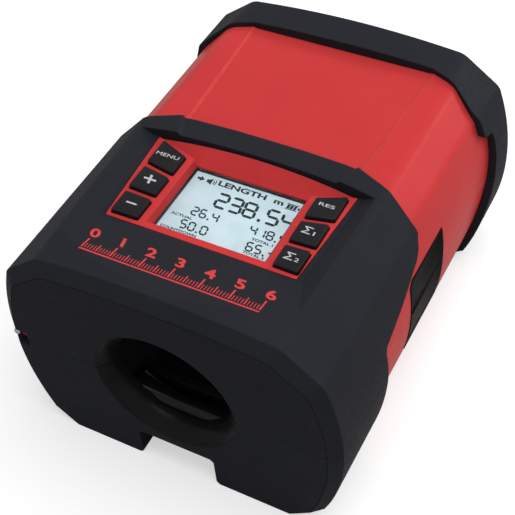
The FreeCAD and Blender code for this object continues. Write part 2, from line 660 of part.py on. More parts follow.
def roller_cradle(name, inward):
    """Two cheeks that carry a roller's axle, joined by a bar on the inner side of the roller."""
    label = f"{name}_cradle"
    y = roller_places[name]
    outer_end = f"{y} - ({inward})*cheek_half"
    bar_near = f"{y} + ({inward})*(roller_rim + roller_clear)"
    bar_far = f"{y} + ({inward})*(roller_rim + roller_clear + cradle_bar)"
    start, end = (outer_end, bar_far) if inward > 0 else (bar_far, outer_end)
    bar_start, bar_end = (bar_near, bar_far) if inward > 0 else (bar_far, bar_near)
    floor = "shell_sole_z + shell_wall"
    top = "roller_level + cheek_rise"
    pieces = [
        box(f"{label}_right", (cheek_inner, start, floor), (f"{cheek_inner} + cheek_wall", end, top)),
        box(f"{label}_left", (f"-({cheek_inner} + cheek_wall)", start, floor),
            (f"-{cheek_inner}", end, top)),
        box(f"{label}_bar", (f"-{cheek_inner} - 1", bar_start, channel_roof),
            (f"{cheek_inner} + 1", bar_end, "tray_floor + 2")),
    ]
    bore = rod(f"{label}_bore", "x", ("-cap_half", y, "roller_level"), "axle_radius", "2*cap_half")
    return cut(label, fuse(f"{label}_frame", pieces), [bore])


# ---------------------------------------------------------------- inlet and outlet rings
def guide_ring(label, end, inward, half):
    """Half of a ring that guides the cable: a bell mouth and a flange behind the cap's face."""
    flange_front = "cap_face_wall + seat_gap"
    flange_rear = f"{flange_front} + ring_flange_wall"
    profile = [
        ("0", "mouth_radius"), ("ring_depth", "bore_radius"),
        ("ring_depth", "bore_radius + ring_wall"), (flange_rear, "bore_radius + ring_wall"),
        (flange_rear, "mouth_radius + ring_flange"), (flange_front, "mouth_radius + ring_flange"),
        (flange_front, "mouth_radius"),
    ]
    outline = [(f"{end} + ({inward})*({y})", f"({half})*({radius})") for y, radius in profile]
    bell = 0
    if number(inward) * number(half) < 0:
        outline.reverse()
        bell = len(outline) - 2
    outline[bell] += ("lip_bend",)
    angle = "180 - 2*57.3*parting_gap/bore_radius"
    return turned(label, "YZ_Plane", outline, ("0", "seam_level"), angle=angle)


def lower_ring(label, name, end, inward):
    """A lower ring, hollowed for the roller that runs beside it."""
    clearance = guide_roller(f"{label}_clearance", roller_places[name], "0", "roller_clear")
    return cut(label, guide_ring(f"{label}_full", end, inward, "-1"), [clearance])


# ---------------------------------------------------------------- shells
def grip_outline(low, high, margin, corner):
    """The (y, z) outline of a finger grip with one corner taken off at the top."""
    start = f"{front} + grip_front + ({margin})"
    end = f"{front} + grip_rear - ({margin})"
    return [(start, low), (end, low), (end, high), (f"{start} + {corner}", high),
            (start, f"({high}) - {corner}")]


def grip_layer(label, outline, shell, depth, proud):
    """The layer of the case's right wall inside an outline, from one depth to another."""
    block = prism_x(f"{label}_block", outline, "shell_half/2", "shell_half + 2")
    core = prism_y(f"{label}_core", shell(f"(-({depth}))"), shell_front, shell_rear)
    skin = prism_y(f"{label}_skin", shell(proud), shell_front, shell_rear)
    return cut(label, common(f"{label}_common", [block, skin]), [core])


grip_ranges = {"upper": (upper_base, "grip_top"), "lower": ("grip_foot", lower_base)}


def finger_grip(name, shell):
    """One half of the finger grip, set into the shell."""
    low, high = grip_ranges[name]
    corner = "grip_corner" if name == "upper" else "0.01"
    low = low if name == "upper" else f"{low} + grip_gap"
    high = high if name == "lower" else f"{high} - grip_gap"
    outline = grip_outline(low, high, "grip_gap", corner)
    return grip_layer(f"{name}_grip", outline, shell, "grip_depth - seat_gap", "grip_proud")


def shell_wall_parts(name, shell):
    """The wall of a shell half, thickened behind the finger grip."""
    low, high = grip_ranges[name]
    corner = "grip_corner" if name == "upper" else "0.01"
    outer = prism_y(f"{name}_shell_outer", shell("0"), shell_front, shell_rear)
    cavity = prism_y(f"{name}_shell_cavity", shell("(-shell_wall)"), f"{shell_front} - 1",
                     f"{shell_rear} + 1")
    backing = grip_layer(f"{name}_backing", grip_outline(low, high, "-1.5", "0.01"), shell,
                         "grip_depth + grip_backing", "0")
    pocket = grip_layer(f"{name}_pocket", grip_outline(low, high, "0", corner), shell, "grip_depth",
                        "1")
    return cut(f"{name}_shell_wall", outer, [cut(f"{name}_shell_hollow", cavity, [backing])]), pocket


def tray_boss_ribs(label, low):
    """Ribs that join the tray screws' bosses to the side walls."""
    outer = "(shell_half - shell_wall)"
    return [
        box(f"{label}_{index}", (left, f"{y} - tray_rib_wall/2", low),
            (right, f"{y} + tray_rib_wall/2", f"{low} + tray_boss_length"))
        for index, (left, right, y) in enumerate(
            (left, right, y) for left, right in (("tray_screw_x", outer), (f"-{outer}", "-tray_screw_x"))
            for y in (f"{front} + tray_screw_inset", f"{rear} - tray_screw_inset"))
    ]


def tray_screw_rods(label, radius, low, height):
    """Cylinders on the lines of the tray screws."""
    return [
        rod(f"{label}_{index}", "z", (x, y, low), radius, height)
        for index, (x, y) in enumerate(
            (x, y) for x in ("tray_screw_x", "-tray_screw_x")
            for y in (f"{front} + tray_screw_inset", f"{rear} - tray_screw_inset"))
    ]


def lower_shell():
    """The lower shell: two hollow feet with the channel between them, and its hinge knuckles."""
    wall, pocket = shell_wall_parts("lower", shell_lower)
    rib = box("lower_hinge_rib", ("-shell_half + shell_wall/2", shell_front,
                                  f"{lower_base} - hinge_rib_height"),
              ("-shell_half + shell_wall + hinge_rib", shell_rear, lower_base))
    tray_bosses = tray_screw_rods("lower_tray_boss", "tray_boss_radius",
                                  f"{lower_flange_low} - tray_boss_length", "tray_boss_length")
    foot_bosses = foot_screw_rods("shell_boss", "shell_boss_radius", "shell_sole_z + shell_wall",
                                  "shell_boss_height")
    tray_ribs = tray_boss_ribs("lower_tray_rib", f"{lower_flange_low} - tray_boss_length")
    solid = fuse("lower_shell_solid", [wall, rib, *tray_bosses, *tray_ribs, *foot_bosses,
                                       *knuckles("lower_knuckle", lower_knuckles, "knuckle_radius", "0")])
    reliefs = [
        box(f"{name}_roller_relief", (f"-{cheek_relief}", low, "shell_sole_z + shell_wall"),
            (cheek_relief, high, "roller_level + roller_rim + 2"))
        for name, low, high in (
            ("front", front, f"{front} + roller_setback + roller_rim + roller_clear"),
            ("rear", f"{rear} - roller_setback - roller_rim - roller_clear", rear))
    ]
    screws = [
        *tray_screw_rods("lower_tray_thread", "tray_screw_radius",
                         f"{lower_flange_low} - tray_screw_length", "tray_screw_length + 1"),
        *foot_screw_rods("shell_thread", "foot_screw_radius", "0", "shell_boss_height + 3"),
        *foot_screw_rods("shell_boss_seat", "cap_boss_radius + seat_gap", "0",
                         "shell_sole_z + shell_wall"),
    ]
    gaps = knuckles("lower_knuckle_gap", upper_knuckles, "knuckle_radius + knuckle_clear", "knuckle_gap")
    return cut("lower_shell", solid, [pocket, *reliefs, *screws, *gaps,
                                      pin_bore("lower_pin_bore", "pin_radius")])


def upper_shell():
    """The upper shell, with the recess behind the display and its hinge knuckles."""
    wall, pocket = shell_wall_parts("upper", shell_upper)
    rib = box("upper_hinge_rib", ("-shell_half + shell_wall/2", shell_front, upper_base),
              ("-shell_half + shell_wall + hinge_rib", shell_rear, f"{upper_base} + hinge_rib_height"))
    tray_bosses = tray_screw_rods("upper_tray_boss", "tray_boss_radius", upper_flange_high,
                                  "tray_boss_length")
    roof_rear = f"{front} + bezel_rear + bezel_gap"
    roof_plate = box("roof_plate", ("-roof_plate_half", shell_front, "roof_level - roof_plate_wall"),
                     ("roof_plate_half", f"{roof_rear} + roof_plate_wall", "roof_level"))
    solid = fuse("upper_shell_solid", [
        wall, rib, roof_plate, *tray_bosses, *tray_boss_ribs("upper_tray_rib", upper_flange_high),
        *knuckles("upper_knuckle", upper_knuckles, "knuckle_radius", "0")])
    lowered_roof = box("lowered_roof", ("-roof_half", front, "roof_level"),
                       ("roof_half", roof_rear, document_top))
    display_hole = box("display_hole", (
        "-bezel_half - bezel_gap", f"{front} + bezel_front - bezel_gap", "board_level"),
        ("bezel_half + bezel_gap", roof_rear, document_top))
    recess_front = f"{front} + front_cap_reach - front_lip_reach"
    recess_rear = f"{rear} - rear_cap_reach + recess_overlap"
    recess = prism_z("recess", [
        ("-recess_half_front", recess_front), ("recess_half_front", recess_front),
        ("recess_half_rear", recess_rear), ("-recess_half_rear", recess_rear),
    ], "recess_level", "recess_level + 3", taper=50)
    threads = tray_screw_rods("upper_tray_thread", "tray_screw_radius", f"{upper_flange_high} - 1",
                              "tray_screw_length + 1")
    gaps = knuckles("upper_knuckle_gap", lower_knuckles, "knuckle_radius + knuckle_clear", "knuckle_gap")
    return cut("upper_shell", solid, [pocket, lowered_roof, display_hole, recess, *threads, *gaps,
                                      pin_bore("upper_pin_bore", "pin_radius + running_fit")])


# ---------------------------------------------------------------- trays
tray_start = f"{front} + ring_depth + tray_end_gap"
tray_end = f"{rear} - ring_depth - tray_end_gap"
tray_left = "-(shell_half - shell_wall - hinge_rib - 2*seat_gap)"


def trough(label, level_half, far_half, level, far_level):
    """A solid with a sloping-sided section from the parting plane to its floor or roof."""
    outline = [(f"-({level_half})", level), (level_half, level), (far_half, far_level),
               (f"-({far_half})", far_level)]
    if number(far_level) < number(level):
        outline.reverse()
    return prism_y(label, outline, tray_start, tray_end)


def tray_screw_holes(name):
    """Holes and head recesses for the screws of one tray."""
    holes = tray_screw_rods(f"{name}_tray_hole", "tray_screw_radius + seat_gap", "seam_level - 5", "10")
    depth = "tray_level_gap + tray_head_wall + seat_gap"
    low = "seam_level" if name == "upper" else f"seam_level - ({depth})"
    return holes + tray_screw_rods(f"{name}_tray_head", "tray_head_radius + seat_gap", low, depth)


def catch_place(grow):
    """The corners in plan of the magnet and of the plate it holds."""
    return [
        (f"catch_x - catch_width/2 - {grow}", f"catch_x + catch_width/2 + {grow}"),
        (f"{front} + catch_y - catch_length/2 - {grow}", f"{front} + catch_y + catch_length/2 + {grow}"),
    ]


def catch_box(label, grow, low, high):
    """A box on the place of the magnetic catch."""
    (left, right), (near, far) = catch_place(grow)
    return box(label, (left, near, low), (right, far, high))


def lower_tray():
    """The dark trough that lines the lower half, with flanges out to the shell's walls."""
    outer = trough("lower_trough", "tray_half", "tray_floor_half", lower_flange_high,
                   "tray_floor - tray_wall")
    inner = trough("lower_trough_inner", "tray_half - tray_wall", "tray_floor_half - tray_wall",
                   lower_flange_high, "tray_floor")
    flange = box("lower_flange", (tray_left, tray_start, lower_flange_low),
                 ("tray_side", tray_end, lower_flange_high))
    cup = catch_box("catch_cup", "catch_wall",
                    f"{lower_flange_high} - catch_height - catch_wall", lower_flange_high)
    magnet = catch_box("catch_hole", "0", f"{lower_flange_high} - catch_height", upper_base)
    reach = "roller_setback + roller_rim + roller_clear + cradle_bar + seat_gap"
    wells = [
        box(f"{name}_roller_well", (f"-{cheek_relief}", low, "0"),
            (cheek_relief, high, "roller_level + cheek_rise + roller_clear"))
        for name, low, high in (("front", front, f"{front} + {reach}"), ("rear", f"{rear} - ({reach})", rear))
    ]
    return cut("lower_tray", fuse("lower_tray_solid", [outer, flange, cup]),
               [inner, magnet, *wells, *tray_screw_holes("lower")])


def cell_side(side, offset):
    """An x on one side of the case, measured outwards from the middle of a cell."""
    return f"({side})*(cell_x + ({offset}))"


def cell_box(label, side, half, start, end, low, high):
    """A box about one battery cell."""
    edges = [cell_side(side, f"-({half})"), cell_side(side, half)]
    if number(side) < 0:
        edges.reverse()
    return box(label, (edges[0], start, low), (edges[1], end, high))


cell_bay_half = "cell_radius + holder_gap"
cell_bay_start = f"{rear} - cell_front - contact_wall"
cell_bay_end = f"{rear} - cell_front + cell_length + contact_wall"
door_start = f"{rear} - cell_front - contact_wall - door_ledge"
door_end = f"{rear} - cell_front + cell_length + contact_wall + holder_boss - door_ledge"
door_half = "cell_radius + holder_gap + door_ledge"
door_screw_y = f"{rear} - cell_front + cell_length + contact_wall + holder_boss/2"


def upper_tray():
    """The cover between the cable and the electronics, with the battery bays and the arm's lugs."""
    outer = trough("upper_trough", "tray_half", "tray_roof_half", upper_flange_low,
                   "tray_roof + tray_wall")
    inner = trough("upper_trough_inner", "tray_half - tray_wall", "tray_roof_half - tray_wall",
                   upper_flange_low, "tray_roof")
    flange = box("upper_flange", (tray_left, tray_start, upper_flange_low),
                 ("tray_side", tray_end, upper_flange_high))
    lugs = [
        box(f"arm_lug_{name}", (left, f"{front} + pivot_y - lug_half", "tray_roof"),
            (right, f"{front} + pivot_y + lug_half", "pivot_level + lug_half"))
        for name, left, right in (
            ("right", "arm_half + lug_gap", "arm_half + lug_gap + lug_wall"),
            ("left", "-arm_half - lug_gap - lug_wall", "-arm_half - lug_gap"))
    ]
    bays = [
        cell_box(f"battery_bay_{side}", side, f"{cell_bay_half} + holder_wall",
                 f"{cell_bay_start} - holder_wall", f"{cell_bay_end} + holder_boss", upper_flange_high,
                 "cell_level + cell_radius + holder_gap + holder_wall/2")
        for side in ("1", "-1")
    ]
    hollows = [
        cell_box(f"battery_hollow_{side}", side, cell_bay_half, cell_bay_start, cell_bay_end,
                 "seam_level", "cell_level + cell_radius + holder_gap")
        for side in ("1", "-1")
    ]
    doorways = [
        cell_box(f"battery_doorway_{side}", side, f"{door_half} + door_gap", f"{door_start} - door_gap",
                 f"{door_end} + door_gap", "seam_level", upper_flange_high)
        for side in ("1", "-1")
    ]
    threads = [
        rod(f"battery_door_thread_{side}", "z", (cell_side(side, "0"), door_screw_y, "seam_level"),
            "small_screw_radius", "door_screw_length + 3")
        for side in ("1", "-1")
    ]
    slot = box("arm_slot", ("-arm_half - lug_gap", f"{front} + pivot_y - slot_front", "tray_roof - 1"),
               ("arm_half + lug_gap", f"{front} + pivot_y + slot_rear", "tray_roof + tray_wall + 1"))
    bore = rod("arm_pivot_bore", "x", ("-cap_half", f"{front} + pivot_y", "pivot_level"), "pivot_radius",
               "2*cap_half")
    plate = catch_box("catch_plate_hole", "0", "seam_level", f"{upper_flange_low} + catch_plate_wall")
    cover = cut("upper_cover", fuse("upper_cover_solid", [outer, flange]), [inner, slot, plate])
    return cut("upper_tray", fuse("upper_tray_solid", [cover, *lugs, *bays]),
               [*hollows, *doorways, *threads, bore, *tray_screw_holes("upper")])


def tray_screws(name):
    """The four screws of one tray, with their heads in its flange."""
    screws = []
    places = enumerate((x, y) for x in ("tray_screw_x", "-tray_screw_x")
                       for y in (f"{front} + tray_screw_inset", f"{rear} - tray_screw_inset"))
    for index, (x, y) in places:
        if name == "lower":
            head_low = f"{lower_flange_high} - tray_head_wall"
            shank_low = f"{lower_flange_high} - tray_head_wall - tray_screw_length"
        else:
            head_low = upper_flange_low
            shank_low = f"{upper_flange_low} + tray_head_wall"
        shank = rod(f"{name}_tray_shank_{index}", "z", (x, y, shank_low), "tray_screw_radius",
                    "tray_screw_length")
        head = rod(f"{name}_tray_screw_head_{index}", "z", (x, y, head_low), "tray_head_radius",
                   "tray_head_wall")
        screws.append(fuse(f"{name}_tray_screw_{index}", [shank, head]))
    return fuse(f"{name}_tray_screws", screws)


def foot_screws():
    """The four screws that hold the lower caps on the shell."""
    heads = foot_screw_rods("foot_head", "foot_head_radius", "foot_head_recess", "foot_head_wall")
    shanks = foot_screw_rods("foot_shank", "foot_screw_radius", "foot_head_recess + foot_head_wall",
                             "foot_screw_length")
    return fuse("foot_screws", [fuse(f"foot_screw_{index}", list(pair))
                                for index, pair in enumerate(zip(heads, shanks))])


# ---------------------------------------------------------------- display and keys
key_rows = {"menu": ("left", 3), "plus": ("left", 2), "minus": ("left", 1),
            "reset": ("right", 3), "total_1": ("right", 2), "total_2": ("right", 1)}


def key_outline(name, grow):
    """The outline of a key, with rounded corners between its slanting ends."""
    side, row = key_rows[name]
    inner, outer = f"key_{side}_inner", f"key_{side}_outer"
    edge = f"{outer} + {row - 1}*key_outer_step"
    slope = {line: f"(key_line_outer_{line} - key_line_inner_{line})/({outer} - {inner})"
             for line in (row, row + 1)}

    def level(line, x, shift):
        return f"{front} + key_line_inner_{line} + ({slope[line]})*(({x}) - {inner}) {shift}"
    low_shift = f"+ key_split/2 - ({grow})" if row > 1 else f"- ({grow})"
    high_shift = f"- key_split/2 + ({grow})" if row < 3 else f"+ ({grow})"
    near, far = f"{inner} - ({grow})", f"{edge} + ({grow})"
    near_cut, far_cut = f"{near} + key_corner", f"{far} - key_corner"
    right = [
        (near_cut, level(row, near_cut, low_shift)),
        (far_cut, level(row, far_cut, low_shift), "key_corner"),
        (far, level(row, far, low_shift) + " + key_corner"),
        (far, level(row + 1, far, high_shift) + " - key_corner", "key_corner"),
        (far_cut, level(row + 1, far_cut, high_shift)),
        (near_cut, level(row + 1, near_cut, high_shift), "key_corner"),
        (near, level(row + 1, near, high_shift) + " - key_corner"),
        (near, level(row, near, low_shift) + " + key_corner", "key_corner"),
    ]
    if side == "right":
        return right
    corners = [(f"-({corner[0]})", corner[1]) for corner in reversed(right)]
    bends = [len(corner) == 3 for corner in right]
    bends = bends[:-1][::-1] + bends[-1:]
    return [corner + ("key_corner",) if bend else corner for corner, bend in zip(corners, bends)]


flange_high = "(bezel_foot - 0.2)"
key_foot = f"({flange_high} - key_flange_wall)"


def key(name):
    """One key: its cap stands in a well of the bezel and its flange keeps it there."""
    stem = prism_z(f"key_{name}_stem", key_outline(name, "0"), key_foot, "bezel_level + key_height")
    flange = prism_z(f"key_{name}_flange", key_outline(name, "key_flange"), key_foot, flange_high)
    return fuse(f"key_{name}", [stem, flange])


def key_centre(name):
    """The middle of a key."""
    side, row = key_rows[name]
    sign = "" if side == "right" else "-"
    x = f"{sign}(key_{side}_inner + key_{side}_outer)/2"
    lines = "".join(f"key_line_{edge}_{line} + " for edge in ("inner", "outer")
                    for line in (row, row + 1))
    return x, f"{front} + ({lines}0)/4"


board_top = "(board_level + board_wall)"


def key_switches():
    """The six switches under the keys."""
    height = f"{key_foot} - key_travel - switch_clear - {board_top}"
    switches = []
    for name in key_rows:
        x, y = key_centre(name)
        base = box(f"switch_base_{name}", (f"{x} - switch_side/2", f"{y} - switch_side/2", board_top),
                   (f"{x} + switch_side/2", f"{y} + switch_side/2", f"{board_top} + 0.7*({height})"))
        button = rod(f"switch_button_{name}", "z", (x, y, board_top), "switch_side/3", height)
        switches.append(fuse(f"switch_{name}", [base, button]))
    return fuse("key_switches", switches)


post_places = [(f"{sign}post_x_{end}", f"{front} + post_{end}")
               for end in ("front", "rear") for sign in ("", "-")]


def screen_outline(margin_x, margin_y):
    """The outline of the screen in plan, grown by margins."""
    near = f"{front} + screen_front - ({margin_y})"
    far = f"{front} + screen_rear + ({margin_y})"
    half = f"screen_half + ({margin_x})"
    return [(f"-({half})", near), (half, near), (half, far), (f"-({half})", far)]


def display_bezel():
    """The frame of the keypad: wells for the keys, a dish down to the screen and four posts."""
    start, end = f"{front} + bezel_front", f"{front} + bezel_rear"
    flange = box("bezel_flange", ("-bezel_half", start, "bezel_foot"), ("bezel_half", end, "roof_level"))
    step = f"{front} + window_rear"
    panel = common("bezel_panel", [
        prism_z("bezel_panel_plan", window_outline("bezel_gap"), "bezel_foot", document_top),
        prism_x("bezel_panel_section", [
            (start, "bezel_foot"), (end, "bezel_foot"), (end, "dish_rear_level"),
            (step, "dish_rear_level"), (step, "bezel_level"), (start, "bezel_level"),
        ], "-bezel_half", "bezel_half")])
    posts = [rod(f"bezel_post_{index}", "z", (x, y, board_top), "post_radius",
                 f"bezel_foot + 1 - {board_top}") for index, (x, y) in enumerate(post_places)]
    threads = [rod(f"bezel_thread_{index}", "z", (x, y, "board_level"), "small_screw_radius",
                   "board_screw_length + 0.5") for index, (x, y) in enumerate(post_places)]
    dish_slope = prism_x("bezel_dish_slope", [
        (f"{front} + screen_front", "screen_level"), (f"{front} + screen_rear", "screen_level"),
        (f"{front} + screen_rear", "dish_foot"), (f"{front} + dish_rear", "dish_rear_level"),
        (f"{front} + dish_rear", document_top), (f"{front} + dish_front", document_top),
        (f"{front} + dish_front", "bezel_level"),
    ], "-bezel_half", "bezel_half")
    dish_plan = prism_z("bezel_dish_plan", [
        ("-dish_left", f"{front} + dish_front"), ("dish_right", f"{front} + dish_front"),
        ("dish_right", f"{front} + dish_step"),
        ("window_half_rear", f"{front} + window_rear", "window_bow"),
        ("-window_half_rear", f"{front} + window_rear"), ("-dish_left", f"{front} + dish_step"),
    ], "screen_level - 1", document_top)
    dish = common("bezel_dish", [dish_slope, dish_plan])
    screen = prism_z("bezel_screen", screen_outline("0", "0"), "board_level", "screen_level + 1")
    wells = [prism_z(f"key_well_{name}", key_outline(name, "key_gap"), "board_level",
                     "bezel_level + 1") for name in key_rows]
    frame = fuse("bezel_frame", [flange, panel, *posts])
    return cut("display_bezel", frame, [dish, screen, *wells, *threads])


def display_lens():
    """The clear window over the display."""
    return prism_z("display_lens", screen_outline("-seat_gap", "-seat_gap"), "bezel_foot",
                   "screen_level - seat_gap")


def lcd_panel():
    """The display's glass."""
    return prism_z("lcd_panel", screen_outline("lcd_side", "lcd_end"), f"{flange_high} - lcd_wall",
                   flange_high)


def backlight():
    """The light guide between the display and the board."""
    level = f"{flange_high} - lcd_wall"
    return prism_z("backlight", screen_outline("lcd_side", "lcd_end"), f"{level} - backlight_wall", level)


def main_board():
    """The circuit board, screwed to the bezel's posts."""
    plate = box("board_plate", ("-board_half", f"{front} + board_front", "board_level"),
                ("board_half", f"{front} + board_rear", board_top))
    holes = [rod(f"board_hole_{index}", "z", (x, y, "board_level - 1"),
                 "small_screw_radius + seat_gap", "board_wall + 2")
             for index, (x, y) in enumerate(post_places)]
    return cut("main_board", plate, holes)


def small_screw(label, x, y, head_low, length):
    """A small screw that points up, with its head below."""
    head = rod(f"{label}_head", "z", (x, y, head_low), "small_head_radius", "small_head_wall")
    shank = rod(f"{label}_shank", "z", (x, y, f"{head_low} + small_head_wall"), "small_screw_radius",
                length)
    return fuse(label, [head, shank])


def board_screws():
    """The screws through the board's corners."""
    return fuse("board_screws", [
        small_screw(f"board_screw_{index}", x, y, "board_level - small_head_wall", "board_screw_length")
        for index, (x, y) in enumerate(post_places)])


def processor():
    """The main chip under the board."""
    y = f"{front} + (board_front + board_rear)/2"
    return box("processor", ("8 - chip_side/2", f"{y} - chip_side/2", "board_level - chip_wall"),
               ("8 + chip_side/2", f"{y} + chip_side/2", "board_level"))


def buzzer():
    """The sounder under the board, with its round mouth."""
    y = f"{front} + (board_front + board_rear)/2"
    can = rod("buzzer_can", "z", ("-screen_half", y, "board_level - buzzer_height"), "buzzer_radius",
              "buzzer_height")
    hole = rod("buzzer_mouth", "z", ("-screen_half", y, "board_level - buzzer_height - 1"), "1", "2")
    return cut("buzzer", can, [hole])


# ---------------------------------------------------------------- batteries
def battery_cells():
    """The two cells, which point opposite ways."""
    cells = []
    for side, turned_round in (("1", False), ("-1", True)):
        x = cell_side(side, "0")
        case_start = f"{rear} - cell_front + cell_button" if turned_round else f"{rear} - cell_front"
        button_start = f"{rear} - cell_front"
        if not turned_round:
            button_start += " + cell_length - cell_button"
        case = rod(f"cell_case_{side}", "y", (x, case_start, "cell_level"), "cell_radius",
                   "cell_length - cell_button")
        button = rod(f"cell_button_{side}", "y", (x, button_start, "cell_level"), "cell_button_radius",
                     "cell_button")
        cells.append(fuse(f"cell_{side}", [case, button]))
    return fuse("battery_cells", cells)


def battery_contacts():
    """The spring plates at both ends of both cells."""
    plates = []
    for side in ("1", "-1"):
        for end, start in (("front", cell_bay_start), ("rear", f"{cell_bay_end} - contact_wall")):
            plates.append(cell_box(f"contact_{side}_{end}", side, "contact_side/2", start,
                                   f"{start} + contact_wall", "cell_level - contact_side/2",
                                   "cell_level + contact_side/2"))
    return fuse("battery_contacts", plates)


def battery_door(name, side):
    """The door of one battery bay, with a recess for its screw."""
    plate = cell_box(f"{name}_plate", side, door_half, door_start, door_end, upper_flange_low,
                     upper_flange_high)
    x = cell_side(side, "0")
    hole = rod(f"{name}_hole", "z", (x, door_screw_y, "seam_level"), "small_screw_radius + seat_gap",
               "5")
    head = rod(f"{name}_head", "z", (x, door_screw_y, "seam_level"), "small_head_radius + seat_gap",
               "tray_level_gap + small_head_wall + seat_gap")
    return cut(name, plate, [hole, head])


def battery_door_screws():
    """The screws of the battery doors."""
    return fuse("battery_door_screws", [
        small_screw(f"door_screw_{side}", cell_side(side, "0"), door_screw_y,
                    f"{upper_flange_low} + seat_gap", "door_screw_length") for side in ("1", "-1")])


# ---------------------------------------------------------------- measuring arm and wheel
def arm_point(along, across):
    """A (y, z) point of the hanging arm, from its pivot along it and across it."""
    return (f"{front} + pivot_y + ({along})*cos(arm_drop) + ({across})*sin(arm_drop)",
            f"pivot_level - ({along})*sin(arm_drop) + ({across})*cos(arm_drop)")


def arm_rod(label, along, left, right, radius):
    """A cylinder across the arm."""
    y, z = arm_point(along, "0")
    return rod(label, "x", (left, y, z), radius, f"({right}) - ({left})")


def arm_cheek(side, left, right):
    """One cheek of the arm: a tapering plate with a round end at the pivot and at the wheel."""
    sides = [arm_point("0", "-arm_eye_radius"), arm_point("arm_length", "-arm_tip_radius"),
             arm_point("arm_length", "arm_tip_radius"), arm_point("0", "arm_eye_radius")]
    return fuse(f"arm_cheek_{side}", [
        prism_x(f"arm_plate_{side}", sides, left, right),
        arm_rod(f"arm_eye_{side}", "0", left, right, "arm_eye_radius"),
        arm_rod(f"arm_tip_{side}", "arm_length", left, right, "arm_tip_radius")])


def measuring_arm():
    """Two cheeks on the pivot, joined by a web, with the wheel between their tips."""
    web = [arm_point("arm_web_start", "1"), arm_point("arm_web_end", "1"),
           arm_point("arm_web_end", "1 + arm_web_wall"), arm_point("arm_web_start", "1 + arm_web_wall")]
    frame = fuse("arm_frame", [
        arm_cheek("right", "arm_half - arm_cheek_wall", "arm_half"),
        arm_cheek("left", "-arm_half", "-arm_half + arm_cheek_wall"),
        prism_x("arm_web", web, "-arm_half", "arm_half")])
    return cut("measuring_arm", frame, [
        arm_rod("arm_eye_bore", "0", "-arm_half - 1", "arm_half + 1", "pivot_radius + running_fit"),
        arm_rod("arm_tip_bore", "arm_length", "-arm_half - 1", "arm_half + 1", "wheel_axle_radius")])


def sensor_board():
    """The small board on the arm that reads the wheel's magnet."""
    inner = "arm_half - arm_cheek_wall - sensor_wall"
    outline = [arm_point("arm_length - sensor_half - 4", "-sensor_half"),
               arm_point("arm_length + sensor_half", "-sensor_half"),
               arm_point("arm_length + sensor_half", "sensor_half"),
               arm_point("arm_length - sensor_half - 4", "sensor_half")]
    plate = prism_x("sensor_plate", outline, inner, "arm_half - arm_cheek_wall")
    return cut("sensor_board", plate, [
        arm_rod("sensor_hole", "arm_length", "0", "arm_half", "wheel_axle_radius + seat_gap")])


def wheel_ring(label, left, right, outer, inner):
    """A ring about the wheel's axle."""
    return cut(label, arm_rod(f"{label}_disc", "arm_length", left, right, outer), [
        arm_rod(f"{label}_bore", "arm_length", f"({left}) - 1", f"({right}) + 1", inner)])


def wheel_hub():
    """The hub of the measuring wheel, with a seat for a bearing at each side."""
    return cut("wheel_hub", wheel_ring("hub_ring", "-wheel_half", "wheel_half", "hub_radius",
                                       "wheel_axle_radius + 0.5"), [
        arm_rod("bearing_seat_right", "arm_length", "wheel_half - bearing_wall", "wheel_half + 1",
                "bearing_radius"),
        arm_rod("bearing_seat_left", "arm_length", "-wheel_half - 1", "-wheel_half + bearing_wall",
                "bearing_radius")])


def wheel_bearings():
    """The two ball bearings of the measuring wheel."""
    bore = "wheel_axle_radius + running_fit"
    return fuse("wheel_bearings", [
        wheel_ring("bearing_right", "wheel_half - bearing_wall", "wheel_half", "bearing_radius", bore),
        wheel_ring("bearing_left", "-wheel_half", "-wheel_half + bearing_wall", "bearing_radius", bore)])


def arm_spring():
    """The coil round the pivot pin, with one leg towards the wheel and one towards the lid's roof."""
    half = number("spring_pitch*spring_turns/2")
    radius, wire = number("spring_radius"), number("spring_wire")
    lid_leg, arm_leg = number("slot_front - 0.3"), number("spring_leg")
    coil = Part.makeHelix(2 * half / round(number("spring_turns")), 2 * half, radius)
    section = Part.Wire(Part.Circle(Vector(radius, 0, 0), Vector(0, 1, 0), wire).toShape())
    solid = Part.Wire(coil.Edges).makePipeShell([section], True, True)
    legs = [Part.makeCylinder(wire, lid_leg, Vector(radius, 0, 0), Vector(0, -1, 0)),
            Part.makeCylinder(wire, arm_leg, Vector(radius, 0, 2 * half), Vector(0, 1, 0))]
    piece = document.addObject("Part::Feature", "arm_spring")
    piece.Label = "arm_spring"
    piece.Shape = solid.fuse(legs)
    piece.Placement = FreeCAD.Placement(
        Vector(-half, number(f"{front} + pivot_y"), number("pivot_level")), turns["x"])
    return piece


